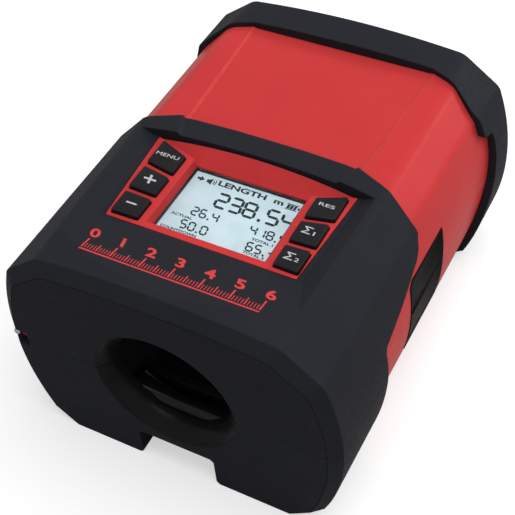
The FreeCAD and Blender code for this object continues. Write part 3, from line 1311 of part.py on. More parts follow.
# ---------------------------------------------------------------- the pieces
def build_pieces():
    """Every piece of the counter."""
    pivot_half = "(arm_half + lug_gap + lug_wall)"
    pieces = [
        lower_shell(), front_cap_lower(), rear_cap_lower(),
        lower_ring("inlet_ring_lower", "front", front, "1"),
        lower_ring("outlet_ring_lower", "rear", rear, "-1"),
        roller_cradle("front", 1), roller_cradle("rear", -1), roller_axles(), roller_washers(),
        hinge_pin(), finger_grip("lower", shell_lower), lower_tray(), tray_screws("lower"),
        foot_screws(),
        catch_box("lower_catch_magnet", "0", f"{lower_flange_high} - catch_height", lower_flange_high),
        guide_roller("front_roller", roller_places["front"]),
        guide_roller("rear_roller", roller_places["rear"]),
        upper_shell(), front_cap_upper(), rear_cap_upper(),
        guide_ring("inlet_ring_upper", front, "1", "1"),
        guide_ring("outlet_ring_upper", rear, "-1", "1"),
        display_bezel(), display_lens(), lcd_panel(), backlight(), main_board(), key_switches(),
        board_screws(), processor(), buzzer(), battery_cells(), battery_contacts(),
        battery_door("battery_door_left", "-1"), battery_door("battery_door_right", "1"),
        battery_door_screws(), upper_tray(), tray_screws("upper"),
        rod("arm_pivot_pin", "x", (f"-{pivot_half}", f"{front} + pivot_y", "pivot_level"), "pivot_radius",
            f"2*{pivot_half}"),
        arm_spring(), finger_grip("upper", shell_upper),
        catch_box("upper_catch_plate", "0", upper_flange_low, f"{upper_flange_low} + catch_plate_wall"),
        *[key(name) for name in key_rows],
        measuring_arm(), sensor_board(),
        arm_rod("wheel_axle", "arm_length", "-arm_half", "arm_half", "wheel_axle_radius"),
        wheel_hub(), wheel_bearings(),
        wheel_ring("wheel_tyre", "-wheel_half", "wheel_half", "wheel_radius", "hub_radius"),
        wheel_ring("encoder_magnet", "wheel_half", "wheel_half + magnet_wall", "magnet_radius",
                   "bearing_radius"),
    ]
    return pieces


pieces = build_pieces()
document.recompute()

for item in document.Objects:
    if any(word in state for state in item.State for word in ("Invalid", "Error")):
        raise RuntimeError(f"{item.Label} failed to build")
for piece in pieces:
    if piece.Shape.isNull() or not piece.Shape.isValid():
        raise RuntimeError(f"{piece.Label} has no valid shape")

os.makedirs("parts", exist_ok=True)
for piece in pieces:
    piece.Shape.exportStep(f"parts/{piece.Label}.step")
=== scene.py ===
import math

import bmesh
import bpy
from mathutils import Matrix, Vector


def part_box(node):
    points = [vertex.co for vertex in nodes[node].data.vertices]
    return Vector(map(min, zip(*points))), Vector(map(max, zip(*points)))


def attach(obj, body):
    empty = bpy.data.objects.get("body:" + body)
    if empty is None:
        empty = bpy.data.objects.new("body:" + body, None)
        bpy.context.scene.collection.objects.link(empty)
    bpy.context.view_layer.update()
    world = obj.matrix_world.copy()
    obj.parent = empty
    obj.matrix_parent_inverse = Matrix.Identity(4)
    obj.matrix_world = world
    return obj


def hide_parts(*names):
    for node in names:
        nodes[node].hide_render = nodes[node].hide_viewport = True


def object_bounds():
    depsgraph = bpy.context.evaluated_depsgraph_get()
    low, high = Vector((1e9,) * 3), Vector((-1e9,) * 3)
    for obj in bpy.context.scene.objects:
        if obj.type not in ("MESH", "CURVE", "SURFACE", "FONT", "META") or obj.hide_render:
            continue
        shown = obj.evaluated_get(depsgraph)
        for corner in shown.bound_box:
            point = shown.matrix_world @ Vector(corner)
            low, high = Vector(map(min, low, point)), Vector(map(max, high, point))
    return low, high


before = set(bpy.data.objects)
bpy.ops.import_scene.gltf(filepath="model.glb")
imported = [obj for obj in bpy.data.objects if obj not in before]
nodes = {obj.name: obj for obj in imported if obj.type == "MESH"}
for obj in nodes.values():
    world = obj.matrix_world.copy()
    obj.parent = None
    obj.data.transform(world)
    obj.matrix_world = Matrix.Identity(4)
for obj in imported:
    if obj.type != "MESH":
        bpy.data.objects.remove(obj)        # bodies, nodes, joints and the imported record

cadLow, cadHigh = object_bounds()
mm = 0.001               # metres in a millimetre
weld = 0.001 * mm        # points nearer than this are one point
flatWithin = math.radians(1)    # faces that bend less than this are one flat face
front = cadLow.y         # the inlet face, from which the places along the case are measured
noiseSpan = (0.3, 0.7)   # nearly all of a noise pattern lies between these values
print("frame loaded:", len(nodes), "nodes")


def linear(code):
    channels = [int(code[start:start + 2], 16) / 255 for start in (1, 3, 5)]
    spread = [c / 12.92 if c <= 0.04045 else ((c + 0.055) / 1.055) ** 2.4 for c in channels]
    return (*spread, 1.0)


def addNode(tree, kind, settings=None, **inputs):
    # "i0" names an input by its number and "From_Min" one with a space; a node gives its first output
    node = tree.nodes.new("ShaderNode" + kind)
    for name, value in (settings or {}).items():
        setattr(node, name, value)
    for name, value in inputs.items():
        numbered = name[0] == "i" and name[1:].isdigit()
        socket = node.inputs[int(name[1:])] if numbered else node.inputs[name.replace("_", " ")]
        if isinstance(value, bpy.types.Node):
            value = value.outputs[0]
        if isinstance(value, bpy.types.NodeSocket):
            tree.links.new(value, socket)
        else:
            socket.default_value = value
    return node


def newMaterial(name, fixed):
    # a surface with its even properties on the shader's own sockets, and the place in millimetres
    material = bpy.data.materials.new(name)
    material.use_nodes = True
    tree = material.node_tree
    tree.nodes.clear()
    shader = addNode(tree, "BsdfPrincipled")
    addNode(tree, "OutputMaterial", Surface=shader)
    for socket, value in fixed.items():
        shader.inputs[socket].default_value = value
    coords = addNode(tree, "TexCoord")
    place = addNode(tree, "VectorMath", {"operation": "SCALE"}, Vector=coords.outputs["Object"],
                    Scale=1 / mm)
    return material, tree, shader, place


def mottled(tree, place, look, size, detail, limits=noiseSpan):
    # two tones in clouds of one size; gives the colour and the clouds
    clouds = addNode(tree, "TexNoise", Vector=place, Scale=1 / size, Detail=detail)
    share = addNode(tree, "MapRange", Value=clouds, From_Min=limits[0], From_Max=limits[1],
                    To_Min=0.0, To_Max=1.0)
    tone = addNode(tree, "Mix", {"data_type": "RGBA"}, i0=share, i6=linear(look["colour"]),
                   i7=linear(look["shade"]))
    return tone.outputs[2], clouds


edgeLook = {"samples": 6, "bend": (0.995, 0.86), "patches": (0.35, 0.65), "detail": 3.0, "least": 0.3}


def rubbedEdges(tree, place, look):
    # hands and benches rub the sharp bends, where the softened normal leaves the true one; on the red shell
    # the paler bends are also a painted highlight along the ridges
    softened = addNode(tree, "Bevel", {"samples": edgeLook["samples"]}, Radius=look["round"] * mm)
    geometry = addNode(tree, "NewGeometry")
    facing = addNode(tree, "VectorMath", {"operation": "DOT_PRODUCT"},
                     i0=softened, i1=geometry.outputs["True Normal"])
    bend = addNode(tree, "MapRange", Value=facing.outputs["Value"], From_Min=edgeLook["bend"][0],
                   From_Max=edgeLook["bend"][1], To_Min=0.0, To_Max=1.0)
    blotch = addNode(tree, "TexNoise", Vector=place, Scale=1 / look["patch"], Detail=edgeLook["detail"])
    patches = addNode(tree, "MapRange", Value=blotch, From_Min=edgeLook["patches"][0],
                      From_Max=edgeLook["patches"][1], To_Min=edgeLook["least"], To_Max=1.0)
    return addNode(tree, "Math", {"operation": "MULTIPLY"}, i0=bend, i1=patches), softened


# the speckle's size and the relief's height are counted in grains
mouldedLook = {"ior": 1.5, "specular": 0.2, "speckle": 3, "relief": 0.2, "crisp": 0.6}


def moulded(name, look):
    # moulded plastic or rubber: eroded grain, faint flow marks and edges polished by use; the paler edge
    # tone is wear, and on the red shell also a painted highlight
    material, tree, shader, place = newMaterial(name, {
        "IOR": mouldedLook["ior"], "Specular IOR Level": look.get("specular", mouldedLook["specular"])})
    scuffedAndHighlit, softened = rubbedEdges(tree, place, look)
    body = mottled(tree, place, look, look["flow"], 2.0)[0]
    fading = addNode(tree, "Math", {"operation": "MULTIPLY"}, i0=scuffedAndHighlit, i1=look["scuffAndHighlight"])
    scuffedAndHighlitTone = addNode(tree, "Mix", {"data_type": "RGBA"}, i0=fading, i6=body, i7=linear(look["scuffedAndHighlit"]))
    tree.links.new(scuffedAndHighlitTone.outputs[2], shader.inputs["Base Color"])
    speckle = addNode(tree, "TexNoise", Vector=place, Detail=1.0,
                      Scale=1 / (look["grain"] * mouldedLook["speckle"]))
    matt = addNode(tree, "MapRange", Value=speckle, From_Min=noiseSpan[0], From_Max=noiseSpan[1],
                   To_Min=look["rough"][0], To_Max=look["rough"][1])
    shine = addNode(tree, "Math", {"operation": "MULTIPLY"}, i0=scuffedAndHighlit, i1=look["polish"])
    polished = addNode(tree, "Math", {"operation": "SUBTRACT"}, i0=matt, i1=shine)
    tree.links.new(polished.outputs[0], shader.inputs["Roughness"])
    grain = addNode(tree, "TexNoise", Vector=place, Scale=1 / look["grain"], Detail=2.0,
                    Roughness=mouldedLook["crisp"])
    bumped = addNode(tree, "Bump", Strength=look["depth"], Height=grain, Normal=softened,
                     Distance=look["grain"] * mouldedLook["relief"] * mm)
    tree.links.new(bumped.outputs[0], shader.inputs["Normal"])
    return material


metalLook = {"fade": 0.5, "lines": (0.25, 0.75), "relief": 0.02}


def metal(name, look):
    # drawn, rolled or turned metal: fine lines along one axis, light stains and bright edges
    material, tree, shader, place = newMaterial(name, {"Metallic": 1.0})
    scuffedAndHighlit, softened = rubbedEdges(tree, place, look)
    stretched = addNode(tree, "VectorMath", {"operation": "MULTIPLY"}, i0=place, i1=look["stretch"])
    lines = addNode(tree, "TexNoise", Vector=stretched, Scale=1 / look["line"], Detail=2.0)
    body = mottled(tree, place, look, look["stain"], 3.0)[0]
    fading = addNode(tree, "Math", {"operation": "MULTIPLY"}, i0=scuffedAndHighlit, i1=metalLook["fade"])
    bright = addNode(tree, "Mix", {"data_type": "RGBA"}, i0=fading, i6=body, i7=linear(look["scuffedAndHighlit"]))
    tree.links.new(bright.outputs[2], shader.inputs["Base Color"])
    sheen = addNode(tree, "MapRange", Value=lines, From_Min=metalLook["lines"][0],
                    From_Max=metalLook["lines"][1], To_Min=look["rough"][0], To_Max=look["rough"][1])
    tree.links.new(sheen.outputs[0], shader.inputs["Roughness"])
    bumped = addNode(tree, "Bump", Strength=look["depth"], Distance=metalLook["relief"] * mm,
                     Height=lines, Normal=softened)
    tree.links.new(bumped.outputs[0], shader.inputs["Normal"])
    return material


def dress(material, *names):
    for name in names:
        mesh = nodes[name].data
        mesh.materials.clear()
        mesh.materials.append(material)


# red ABS, injection moulded with a satin spark-eroded skin: deep red, soft sheen, paler edges that are
# partly rubbed and partly a painted highlight along the ridges
redShell = moulded("redAbsSatinMoulded", {
    "colour": "#C43A3B", "shade": "#BE3738", "scuffedAndHighlit": "#EC8080", "scuffAndHighlight": 0.8, "polish": 0.1,
    "rough": (0.28, 0.36), "grain": 0.35, "depth": 0.12, "flow": 24.0, "patch": 5.0, "round": 0.5,
    "specular": 0.03})
dress(redShell, "lower_shell", "upper_shell")

# painted shade: the shells' hidden ends are coloured near black, so that no red shows through the mouth
# where the inside lies in shade
paintedShadeOnEnds = moulded("paintedShadeBlackOnEnds", {
    "colour": "#0F0F10", "shade": "#0D0D0E", "scuffedAndHighlit": "#1C1C1E", "scuffAndHighlight": 0.2, "polish": 0.0,
    "rough": (0.5, 0.6), "grain": 0.4, "depth": 0.1, "flow": 5.0, "patch": 3.0, "round": 0.1,
    "specular": 0.05})
# how far out the ends start, how wide they are to each side and how squarely they face
endLook = {"past": 50, "half": 48, "facing": 0.99}


# paints the shade on the shells' ends: their square end faces take the near-black material
def sealedEnds(node):
    mesh = nodes[node].data
    mesh.materials.append(paintedShadeOnEnds)
    for face in mesh.polygons:
        atEnd = abs(face.center.y) > endLook["past"] * mm and abs(face.center.x) < endLook["half"] * mm
        if atEnd and abs(face.normal.y) > endLook["facing"]:
            face.material_index = 1


sealedEnds("lower_shell")
sealedEnds("upper_shell")

# the same red ABS on the keypad frame, with a finer skin
redFrame = moulded("redAbsFineMoulded", {
    "colour": "#C63A3C", "shade": "#BE3638", "scuffedAndHighlit": "#E06262", "scuffAndHighlight": 0.5, "polish": 0.08,
    "rough": (0.4, 0.5), "grain": 0.3, "depth": 0.12, "flow": 15.0, "patch": 3.0, "round": 0.25,
    "specular": 0.04})
dress(redFrame, "display_bezel")

# black thermoplastic rubber, moulded over the ends with a dull leathery grain
blackCap = moulded("blackRubberGrained", {
    "colour": "#25262B", "shade": "#232429", "scuffedAndHighlit": "#3B3C41", "scuffAndHighlight": 0.4, "polish": 0.12,
    "rough": (0.5, 0.64), "grain": 0.45, "depth": 0.12, "flow": 18.0, "patch": 4.0, "round": 0.7,
    "specular": 0.035})
dress(blackCap, "front_cap_lower", "front_cap_upper", "rear_cap_lower", "rear_cap_upper")

# black acetal, moulded in a polished tool so that the cable slides: glossy and nearly black
ringAcetal = moulded("blackAcetalPolished", {
    "colour": "#1B1B1D", "shade": "#18181A", "scuffedAndHighlit": "#29292C", "scuffAndHighlight": 0.15, "polish": 0.02,
    "rough": (0.22, 0.32), "grain": 0.5, "depth": 0.05, "flow": 12.0, "patch": 3.0, "round": 0.05,
    "specular": 0.05})
dress(ringAcetal, "inlet_ring_lower", "inlet_ring_upper", "outlet_ring_lower", "outlet_ring_upper")

# black acetal of the rollers, turned and burnished by the cable: small bright glints
rollerAcetal = moulded("blackAcetalTurned", {
    "colour": "#1A1A1C", "shade": "#161618", "scuffedAndHighlit": "#303033", "scuffAndHighlight": 0.3, "polish": 0.05,
    "rough": (0.12, 0.2), "grain": 0.4, "depth": 0.08, "flow": 6.0, "patch": 3.0, "round": 0.3,
    "specular": 0.12})
dress(rollerAcetal, "front_roller", "rear_roller")

# dark glass-filled nylon, moulded for the linings: dull, with a speckle of fibres
trayNylon = moulded("darkNylonGlassFilled", {
    "colour": "#1C1D1F", "shade": "#18191B", "scuffedAndHighlit": "#3C3E41", "scuffAndHighlight": 0.4, "polish": 0.1,
    "rough": (0.45, 0.62), "grain": 0.25, "depth": 0.3, "flow": 6.0, "patch": 3.0, "round": 0.4})
dress(trayNylon, "lower_tray", "upper_tray", "front_cradle", "rear_cradle",
      "battery_door_left", "battery_door_right")

# grey nylon of the swinging arm, moulded: satin, with paler corners
armNylon = moulded("greyNylonMoulded", {
    "colour": "#303236", "shade": "#2B2D31", "scuffedAndHighlit": "#55575B", "scuffAndHighlight": 0.4, "polish": 0.1,
    "rough": (0.4, 0.55), "grain": 0.3, "depth": 0.25, "flow": 6.0, "patch": 2.0, "round": 0.3})
dress(armNylon, "measuring_arm")

# natural acetal of the hub, turned: milky with a faint wax sheen
hubAcetal = moulded("naturalAcetalTurned", {
    "colour": "#D2D1CB", "shade": "#C8C7C0", "scuffedAndHighlit": "#E2E1DC", "scuffAndHighlight": 0.4, "polish": 0.1,
    "rough": (0.3, 0.42), "grain": 0.4, "depth": 0.1, "flow": 4.0, "patch": 2.0, "round": 0.2,
    "specular": 0.4})
dress(hubAcetal, "wheel_hub")

# ferrite ring, pressed and sintered: charcoal grey with a fine mineral grain
ferrite = moulded("sinteredFerrite", {
    "colour": "#2E2E30", "shade": "#28282A", "scuffedAndHighlit": "#4A4A4C", "scuffAndHighlight": 0.3, "polish": 0.1,
    "rough": (0.4, 0.6), "grain": 0.2, "depth": 0.3, "flow": 2.0, "patch": 1.0, "round": 0.15})
dress(ferrite, "encoder_magnet")

# black epoxy of the chip, the sounder and the switches, transfer moulded: flat and sooty
epoxy = moulded("blackEpoxyMoulded", {
    "colour": "#171718", "shade": "#141415", "scuffedAndHighlit": "#303031", "scuffAndHighlight": 0.3, "polish": 0.05,
    "rough": (0.5, 0.65), "grain": 0.15, "depth": 0.2, "flow": 3.0, "patch": 1.0, "round": 0.1})
dress(epoxy, "processor", "buzzer", "key_switches")

# milky acrylic of the light guide, cast: almost white and glossy
guideAcrylic = moulded("milkyAcrylicCast", {
    "colour": "#E6E9E8", "shade": "#DDE1E0", "scuffedAndHighlit": "#F2F3F3", "scuffAndHighlight": 0.3, "polish": 0.05,
    "rough": (0.12, 0.2), "grain": 0.5, "depth": 0.03, "flow": 12.0, "patch": 4.0, "round": 0.1,
    "specular": 0.4})
dress(guideAcrylic, "backlight")

# blue-grey sleeve shrunk over the cells: smooth with slight ripples
cellSleeve = moulded("blueGreySleeveShrunk", {
    "colour": "#3C4652", "shade": "#37414C", "scuffedAndHighlit": "#6A7480", "scuffAndHighlight": 0.4, "polish": 0.05,
    "rough": (0.22, 0.34), "grain": 1.2, "depth": 0.15, "flow": 9.0, "patch": 3.0, "round": 0.3,
    "specular": 0.4})
cellLook = {"bare": 1.6, "steel": "#BDBBB5"}


def bareEnds(material):
    # the sleeve stops short of both ends, where the drawn steel can shows
    low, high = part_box("battery_cells")
    tree = material.node_tree
    shader = next(node for node in tree.nodes if node.type == "BSDF_PRINCIPLED")
    coords = addNode(tree, "TexCoord")
    split = addNode(tree, "SeparateXYZ", Vector=coords.outputs["Object"])
    away = addNode(tree, "Math", {"operation": "SUBTRACT"}, i0=split.outputs["Y"], i1=(low.y + high.y) / 2)
    apart = addNode(tree, "Math", {"operation": "ABSOLUTE"}, i0=away)
    bare = addNode(tree, "Math", {"operation": "GREATER_THAN"}, i0=apart,
                   i1=(high.y - low.y) / 2 - cellLook["bare"] * mm)
    sleeve = shader.inputs["Base Color"].links[0].from_socket
    both = addNode(tree, "Mix", {"data_type": "RGBA"}, i0=bare, i6=sleeve, i7=linear(cellLook["steel"]))
    tree.links.new(both.outputs[2], shader.inputs["Base Color"])
    tree.links.new(bare.outputs[0], shader.inputs["Metallic"])


bareEnds(cellSleeve)
dress(cellSleeve, "battery_cells")

# steel screws and small pressings, zinc plated: bluish grey with a cloudy film
zincSteel = metal("zincPlatedSteel", {
    "colour": "#A9ABAE", "shade": "#8F9195", "scuffedAndHighlit": "#D6D7D9", "rough": (0.24, 0.42), "line": 0.15,
    "stain": 2.0, "patch": 2.0, "stretch": (1.0, 1.0, 1.0), "depth": 0.15, "round": 0.15})
dress(zincSteel, "foot_screws", "lower_tray_screws", "upper_tray_screws", "board_screws",
      "battery_door_screws", "roller_washers", "upper_catch_plate", "arm_spring")

# stainless pins and bearings, ground: bright with fine lines round them
groundPin = metal("stainlessSteelGround", {
    "colour": "#B9BABC", "shade": "#A6A7AA", "scuffedAndHighlit": "#E2E2E3", "rough": (0.14, 0.3), "line": 0.12,
    "stain": 4.0, "patch": 2.0, "stretch": (1.0, 0.05, 1.0), "depth": 0.1, "round": 0.15})
dress(groundPin, "hinge_pin", "roller_axles", "arm_pivot_pin", "wheel_axle", "wheel_bearings")

# nickel plated magnet and contact plates: warm bright metal
nickelPlate = metal("nickelPlated", {
    "colour": "#C9C5BB", "shade": "#B5B0A4", "scuffedAndHighlit": "#E6E3DC", "rough": (0.2, 0.28), "line": 0.4,
    "stain": 6.0, "patch": 2.0, "stretch": (0.1, 1.0, 1.0), "depth": 0.02, "round": 0.15})
dress(nickelPlate, "lower_catch_magnet", "battery_contacts")

boardLook = {
    "colour": "#1B5035", "copper": "#2F7A50", "pitch": 1.0, "track": 0.4, "blur": 0.05, "patch": 7.0,
    "turned": 0.45, "weave": 0.4, "rough": (0.25, 0.4), "specular": 0.4, "depth": 0.3, "relief": 0.04}


def circuitBoard(name, look):
    # green solder mask over copper: paler tracks in two directions and a fine weave
    material, tree, shader, place = newMaterial(name, {"Specular IOR Level": look["specular"]})
    split = addNode(tree, "SeparateXYZ", Vector=place)
    cells = addNode(tree, "TexVoronoi", Vector=place, Scale=1 / look["patch"])
    turned = addNode(tree, "Math", {"operation": "GREATER_THAN"}, i0=cells.outputs["Distance"],
                     i1=look["turned"])
    across = addNode(tree, "Mix", {"data_type": "FLOAT"}, i0=turned, i2=split.outputs["X"],
                     i3=split.outputs["Y"])
    steps = addNode(tree, "Math", {"operation": "PINGPONG"}, i0=across, i1=look["pitch"] / 2)
    track = addNode(tree, "MapRange", Value=steps, From_Min=look["track"] / 2 - look["blur"],
                    From_Max=look["track"] / 2 + look["blur"], To_Min=1.0, To_Max=0.0)
    mask = addNode(tree, "Mix", {"data_type": "RGBA"}, i0=track, i6=linear(look["colour"]),
                   i7=linear(look["copper"]))
    tree.links.new(mask.outputs[2], shader.inputs["Base Color"])
    weave = addNode(tree, "TexNoise", Vector=place, Scale=1 / look["weave"])
    gloss = addNode(tree, "MapRange", Value=weave, From_Min=noiseSpan[0], From_Max=noiseSpan[1],
                    To_Min=look["rough"][0], To_Max=look["rough"][1])
    tree.links.new(gloss.outputs[0], shader.inputs["Roughness"])
    bumped = addNode(tree, "Bump", Strength=look["depth"], Distance=look["relief"] * mm, Height=track)
    tree.links.new(bumped.outputs[0], shader.inputs["Normal"])
    return material


dress(circuitBoard("greenSolderMaskScreened", boardLook), "main_board", "sensor_board")

# the index is under that of acrylic, since the coating takes most of the reflection away
windowLook = {"ior": 1.15, "colour": "#FCFEFE", "shade": "#F2F6F6", "film": 6.0, "dust": (0.35, 0.75)}


def windowAcrylic(name, look):
    # clear acrylic window with a coating against glare: almost unseen, with a faint dust film
    material, tree, shader, place = newMaterial(name, {
        "Transmission Weight": 1.0, "IOR": look["ior"], "Roughness": 0.0})
    tint = mottled(tree, place, look, look["film"], 4.0, look["dust"])[0]
    tree.links.new(tint, shader.inputs["Base Color"])
    return material


dress(windowAcrylic("clearAcrylicCoated", windowLook), "display_lens")

glassLook = {
    "colour": "#BFD0D8", "shade": "#B9CBD3", "flow": 30.0, "speck": "#93A1A8", "share": 0.06,
    "grain": 0.25, "rough": (0.3, 0.4), "specular": 0.3, "ior": 1.5}


def displayGlass(name, look):
    # reflective liquid crystal glass: pale blue grey with slow drifts and a pixel-fine grain
    material, tree, shader, place = newMaterial(name, {
        "Specular IOR Level": look["specular"], "IOR": look["ior"]})
    tone = mottled(tree, place, look, look["flow"], 1.0)[0]
    grain = addNode(tree, "TexNoise", Vector=place, Scale=1 / look["grain"], Detail=1.0)
    speck = addNode(tree, "MapRange", Value=grain, From_Min=noiseSpan[0], From_Max=noiseSpan[1],
                    To_Min=0.0, To_Max=look["share"])
    body = addNode(tree, "Mix", {"data_type": "RGBA"}, i0=speck, i6=tone, i7=linear(look["speck"]))
    tree.links.new(body.outputs[2], shader.inputs["Base Color"])
    rough = addNode(tree, "MapRange", Value=grain, From_Min=noiseSpan[0], From_Max=noiseSpan[1],
                    To_Min=look["rough"][0], To_Max=look["rough"][1])
    tree.links.new(rough.outputs[0], shader.inputs["Roughness"])
    return material


dress(displayGlass("liquidCrystalGlassCoated", glassLook), "lcd_panel")

inkLook = {"thin": (0.45, 0.75), "rough": (0.4, 0.55)}


def ink(name, look):
    # a printed film, pad or screen printed: even colour with thin spots
    material, tree, shader, place = newMaterial(name, {"Specular IOR Level": look["specular"]})
    body, spots = mottled(tree, place, look, look["spot"], 2.0, inkLook["thin"])
    tree.links.new(body, shader.inputs["Base Color"])
    matt = addNode(tree, "MapRange", Value=spots, From_Min=noiseSpan[0], From_Max=noiseSpan[1],
                   To_Min=inkLook["rough"][0], To_Max=inkLook["rough"][1])
    tree.links.new(matt.outputs[0], shader.inputs["Roughness"])
    return material


# grey ink, pad printed on the keys: flat and light, a little thin in places
legendInk = ink("greyInkPadPrinted", {
    "colour": "#BCBCC0", "shade": "#A8A8AC", "spot": 0.5, "specular": 0.1})
# red ink, pad printed on the rubber: the red of the shell, but flat
scaleInk = ink("redInkPadPrinted", {
    "colour": "#CE3A3C", "shade": "#C03335", "spot": 0.8, "specular": 0.2})
# liquid crystal segments, switched dark: blue black and without shine
segmentInk = ink("liquidCrystalSegments", {
    "colour": "#1D262B", "shade": "#262F35", "spot": 0.8, "specular": 0.05})
print("materials made")


def finishPiece(name, mesh, material, body, smooth=None):
    # a new piece on one body, shaded smooth up to an angle where that is given
    mesh.materials.append(material)
    if smooth is not None:
        mesh.shade_smooth()
        mesh.set_sharp_from_angle(angle=math.radians(smooth))
    piece = bpy.data.objects.new(name, mesh)
    bpy.context.scene.collection.objects.link(piece)
    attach(piece, body)
    return piece


def meshFrom(name, shape):
    mesh = bpy.data.meshes.new(name)
    bmesh.ops.recalc_face_normals(shape, faces=shape.faces)
    shape.to_mesh(mesh)
    shape.free()
    return mesh


def welded(node, flat=False):
    # the node's own solid with its points joined, and with its flat faces whole where asked
    shape = bmesh.new()
    shape.from_mesh(nodes[node].data)
    bmesh.ops.remove_doubles(shape, verts=shape.verts, dist=weld)
    if flat:
        bmesh.ops.dissolve_limit(shape, angle_limit=flatWithin, verts=shape.verts, edges=shape.edges)
    return shape


def wall(shape, first, second):
    # a band of faces between two loops of points
    for index in range(len(first)):
        following = (index + 1) % len(first)
        shape.faces.new((first[index], first[following], second[following], second[index]))


def oblong(x0, y0, x1, y1):
    return [(x0, y0), (x1, y0), (x1, y1), (x0, y1)]


def slabs(name, outlines, low, high):
    # flat shapes of one thickness in a single mesh; places are millimetres
    shape = bmesh.new()
    for outline in outlines:
        rings = [[shape.verts.new((x * mm, y * mm, z * mm)) for x, y in outline] for z in (low, high)]
        shape.faces.new(rings[1])
        shape.faces.new(list(reversed(rings[0])))
        wall(shape, *rings)
    return meshFrom(name, shape)


letterLook = {"extrude": 0.02, "steps": 6, "wide": 1.25}


def lettering(name, words, size, thick, slant=0.0, heavy=0.0):
    # slanted lettering about its own middle, standing on z = 0; without a width it keeps wide letters
    curve = bpy.data.curves.new(name, "FONT")
    curve.body = words
    curve.extrude = letterLook["extrude"]
    curve.offset = heavy
    curve.resolution_u = letterLook["steps"]
    holder = bpy.data.objects.new(name, curve)
    bpy.context.scene.collection.objects.link(holder)
    bpy.context.view_layer.update()
    mesh = bpy.data.meshes.new_from_object(holder.evaluated_get(bpy.context.evaluated_depsgraph_get()))
    bpy.data.objects.remove(holder)
    low = Vector([min(v.co[axis] for v in mesh.vertices) for axis in range(3)])
    high = Vector([max(v.co[axis] for v in mesh.vertices) for axis in range(3)])
    middle, own = (low + high) / 2, high - low
    width, height = size
    across = (width - slant * height) / own.x if width else letterLook["wide"] * height / own.y
    lean = Matrix(((1, slant, 0, 0), (0, 1, 0, 0), (0, 0, 1, 0), (0, 0, 0, 1)))
    scale = Matrix.Diagonal((across * mm, height / own.y * mm, thick / own.z * mm, 1))
    mesh.transform(Matrix.Translation((0, 0, thick / 2 * mm)) @ lean @ scale @ Matrix.Translation(-middle))
    return mesh


# black silicone keys with a lacquered skin, moulded: dull top and bright rubbed rims
keyRubber = moulded("blackSiliconeLacquered", {
    "colour": "#17171A", "shade": "#151518", "scuffedAndHighlit": "#4B4C50", "scuffAndHighlight": 0.7, "polish": 0.12,
    "rough": (0.4, 0.52), "grain": 0.18, "depth": 0.1, "flow": 5.0, "patch": 1.5, "round": 0.2,
    "specular": 0.1})

# each legend has its words, its width and height, its place from the key's middle and its lean
keyLook = {
    "rim": 0.01, "round": 0.35, "steps": 3, "smooth": 35, "print": 0.02, "heavy": 0.008, "legendRise": 0.2,
    "legends": {
        "menu": [("MENU", (8.2, 1.5), (-0.2, 0.0), -0.05)],
        "plus": [("+", (3.7, 3.7), (0.0, 0.0), -0.2)],
        "minus": [("-", (3.7, 0.62), (0.0, 0.0), 0.0)],
        "reset": [("RES", (5.2, 1.35), (0.0, 0.0), -0.05)],
        "total_1": [("Σ", (3.2, 2.9), (-0.8, 0.1), 0.1), ("1", (0.5, 1.5), (1.7, -0.55), 0.0)],
        "total_2": [("Σ", (3.2, 2.9), (-0.8, 0.1), 0.1), ("2", (1.4, 1.5), (1.8, -0.55), 0.0)]},
}


def softenedCopy(node, look):
    # the node's own solid with its upper rim rounded
    shape = welded(node, flat=True)
    top = max(vertex.co.z for vertex in shape.verts)
    rim = [edge for edge in shape.edges if all(v.co.z > top - look["rim"] * mm for v in edge.verts)]
    bmesh.ops.bevel(shape, geom=rim, offset=look["round"] * mm, segments=look["steps"], profile=0.5,
                    affect="EDGES", clamp_overlap=True)
    return meshFrom(node + "Softened", shape)


def keyPieces():
    for key, marks in keyLook["legends"].items():
        node, body = "key_" + key, key + "_button"
        cap = finishPiece(key + "KeyCap", softenedCopy(node, keyLook), keyRubber, body,
                          keyLook["smooth"])
        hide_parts(node)
        low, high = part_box(node)
        middle = (low + high) / 2
        for index, (words, size, (right, rearward), lean) in enumerate(marks):
            name = key + "Legend" + str(index)
            mesh = lettering(name, words, size, keyLook["print"], lean, keyLook["heavy"])
            mesh.transform(Matrix.Translation((
                middle.x + right * mm, middle.y + (rearward + keyLook["legendRise"]) * mm, high.z)))
            finishPiece(name, mesh, legendInk, body)


keyPieces()
print("keys made")

# the seven segments, from the top clockwise a to f, with g across the middle
segmentsLit = {
    "0": "abcdef", "1": "bc", "2": "abged", "3": "abgcd", "4": "fgbc", "5": "afgcd", "6": "afgedc",
    "7": "abc", "8": "abcdefg", "9": "abcdfg", "-": "g",
}

# counts have a left end and a foot line, labels a middle and a size; y is from the inlet face
displayLook = {
    "film": 0.02, "sight": (-0.48, 0.8), "slant": -0.12, "heavy": 0.035, "gap": 0.12, "dot": 1.1,
    "margin": 0.3,
    "large": {"height": 6.8, "width": 4.8, "pitch": 5.0, "point": 3.0, "stroke": 1.0, "slant": -0.14},
    "small": {"height": 3.9, "width": 2.6, "pitch": 2.9, "point": 1.4, "stroke": 0.62, "slant": -0.14},
    "counts": [("238.54", -6.6, 49.1, "large"), ("26.4", -11.4, 43.3, "small"),
               ("50.0", -12.0, 37.0, "small"), ("418.9", 9.3, 43.3, "small"),
               ("65.-", 11.4, 36.8, "small")],
    "labels": [("ACTUAL", -13.35, 41.9, 7.5, 1.1), ("COUNTDOWN", -11.2, 35.8, 12.7, 1.1),
               ("TOTAL 1", 15.1, 41.9, 7.2, 1.1), ("TOTAL 2", 15.0, 36.1, 7.2, 1.1),
               ("LENGTH  m", 2.0, 59.4, 23.0, 2.3)],
}

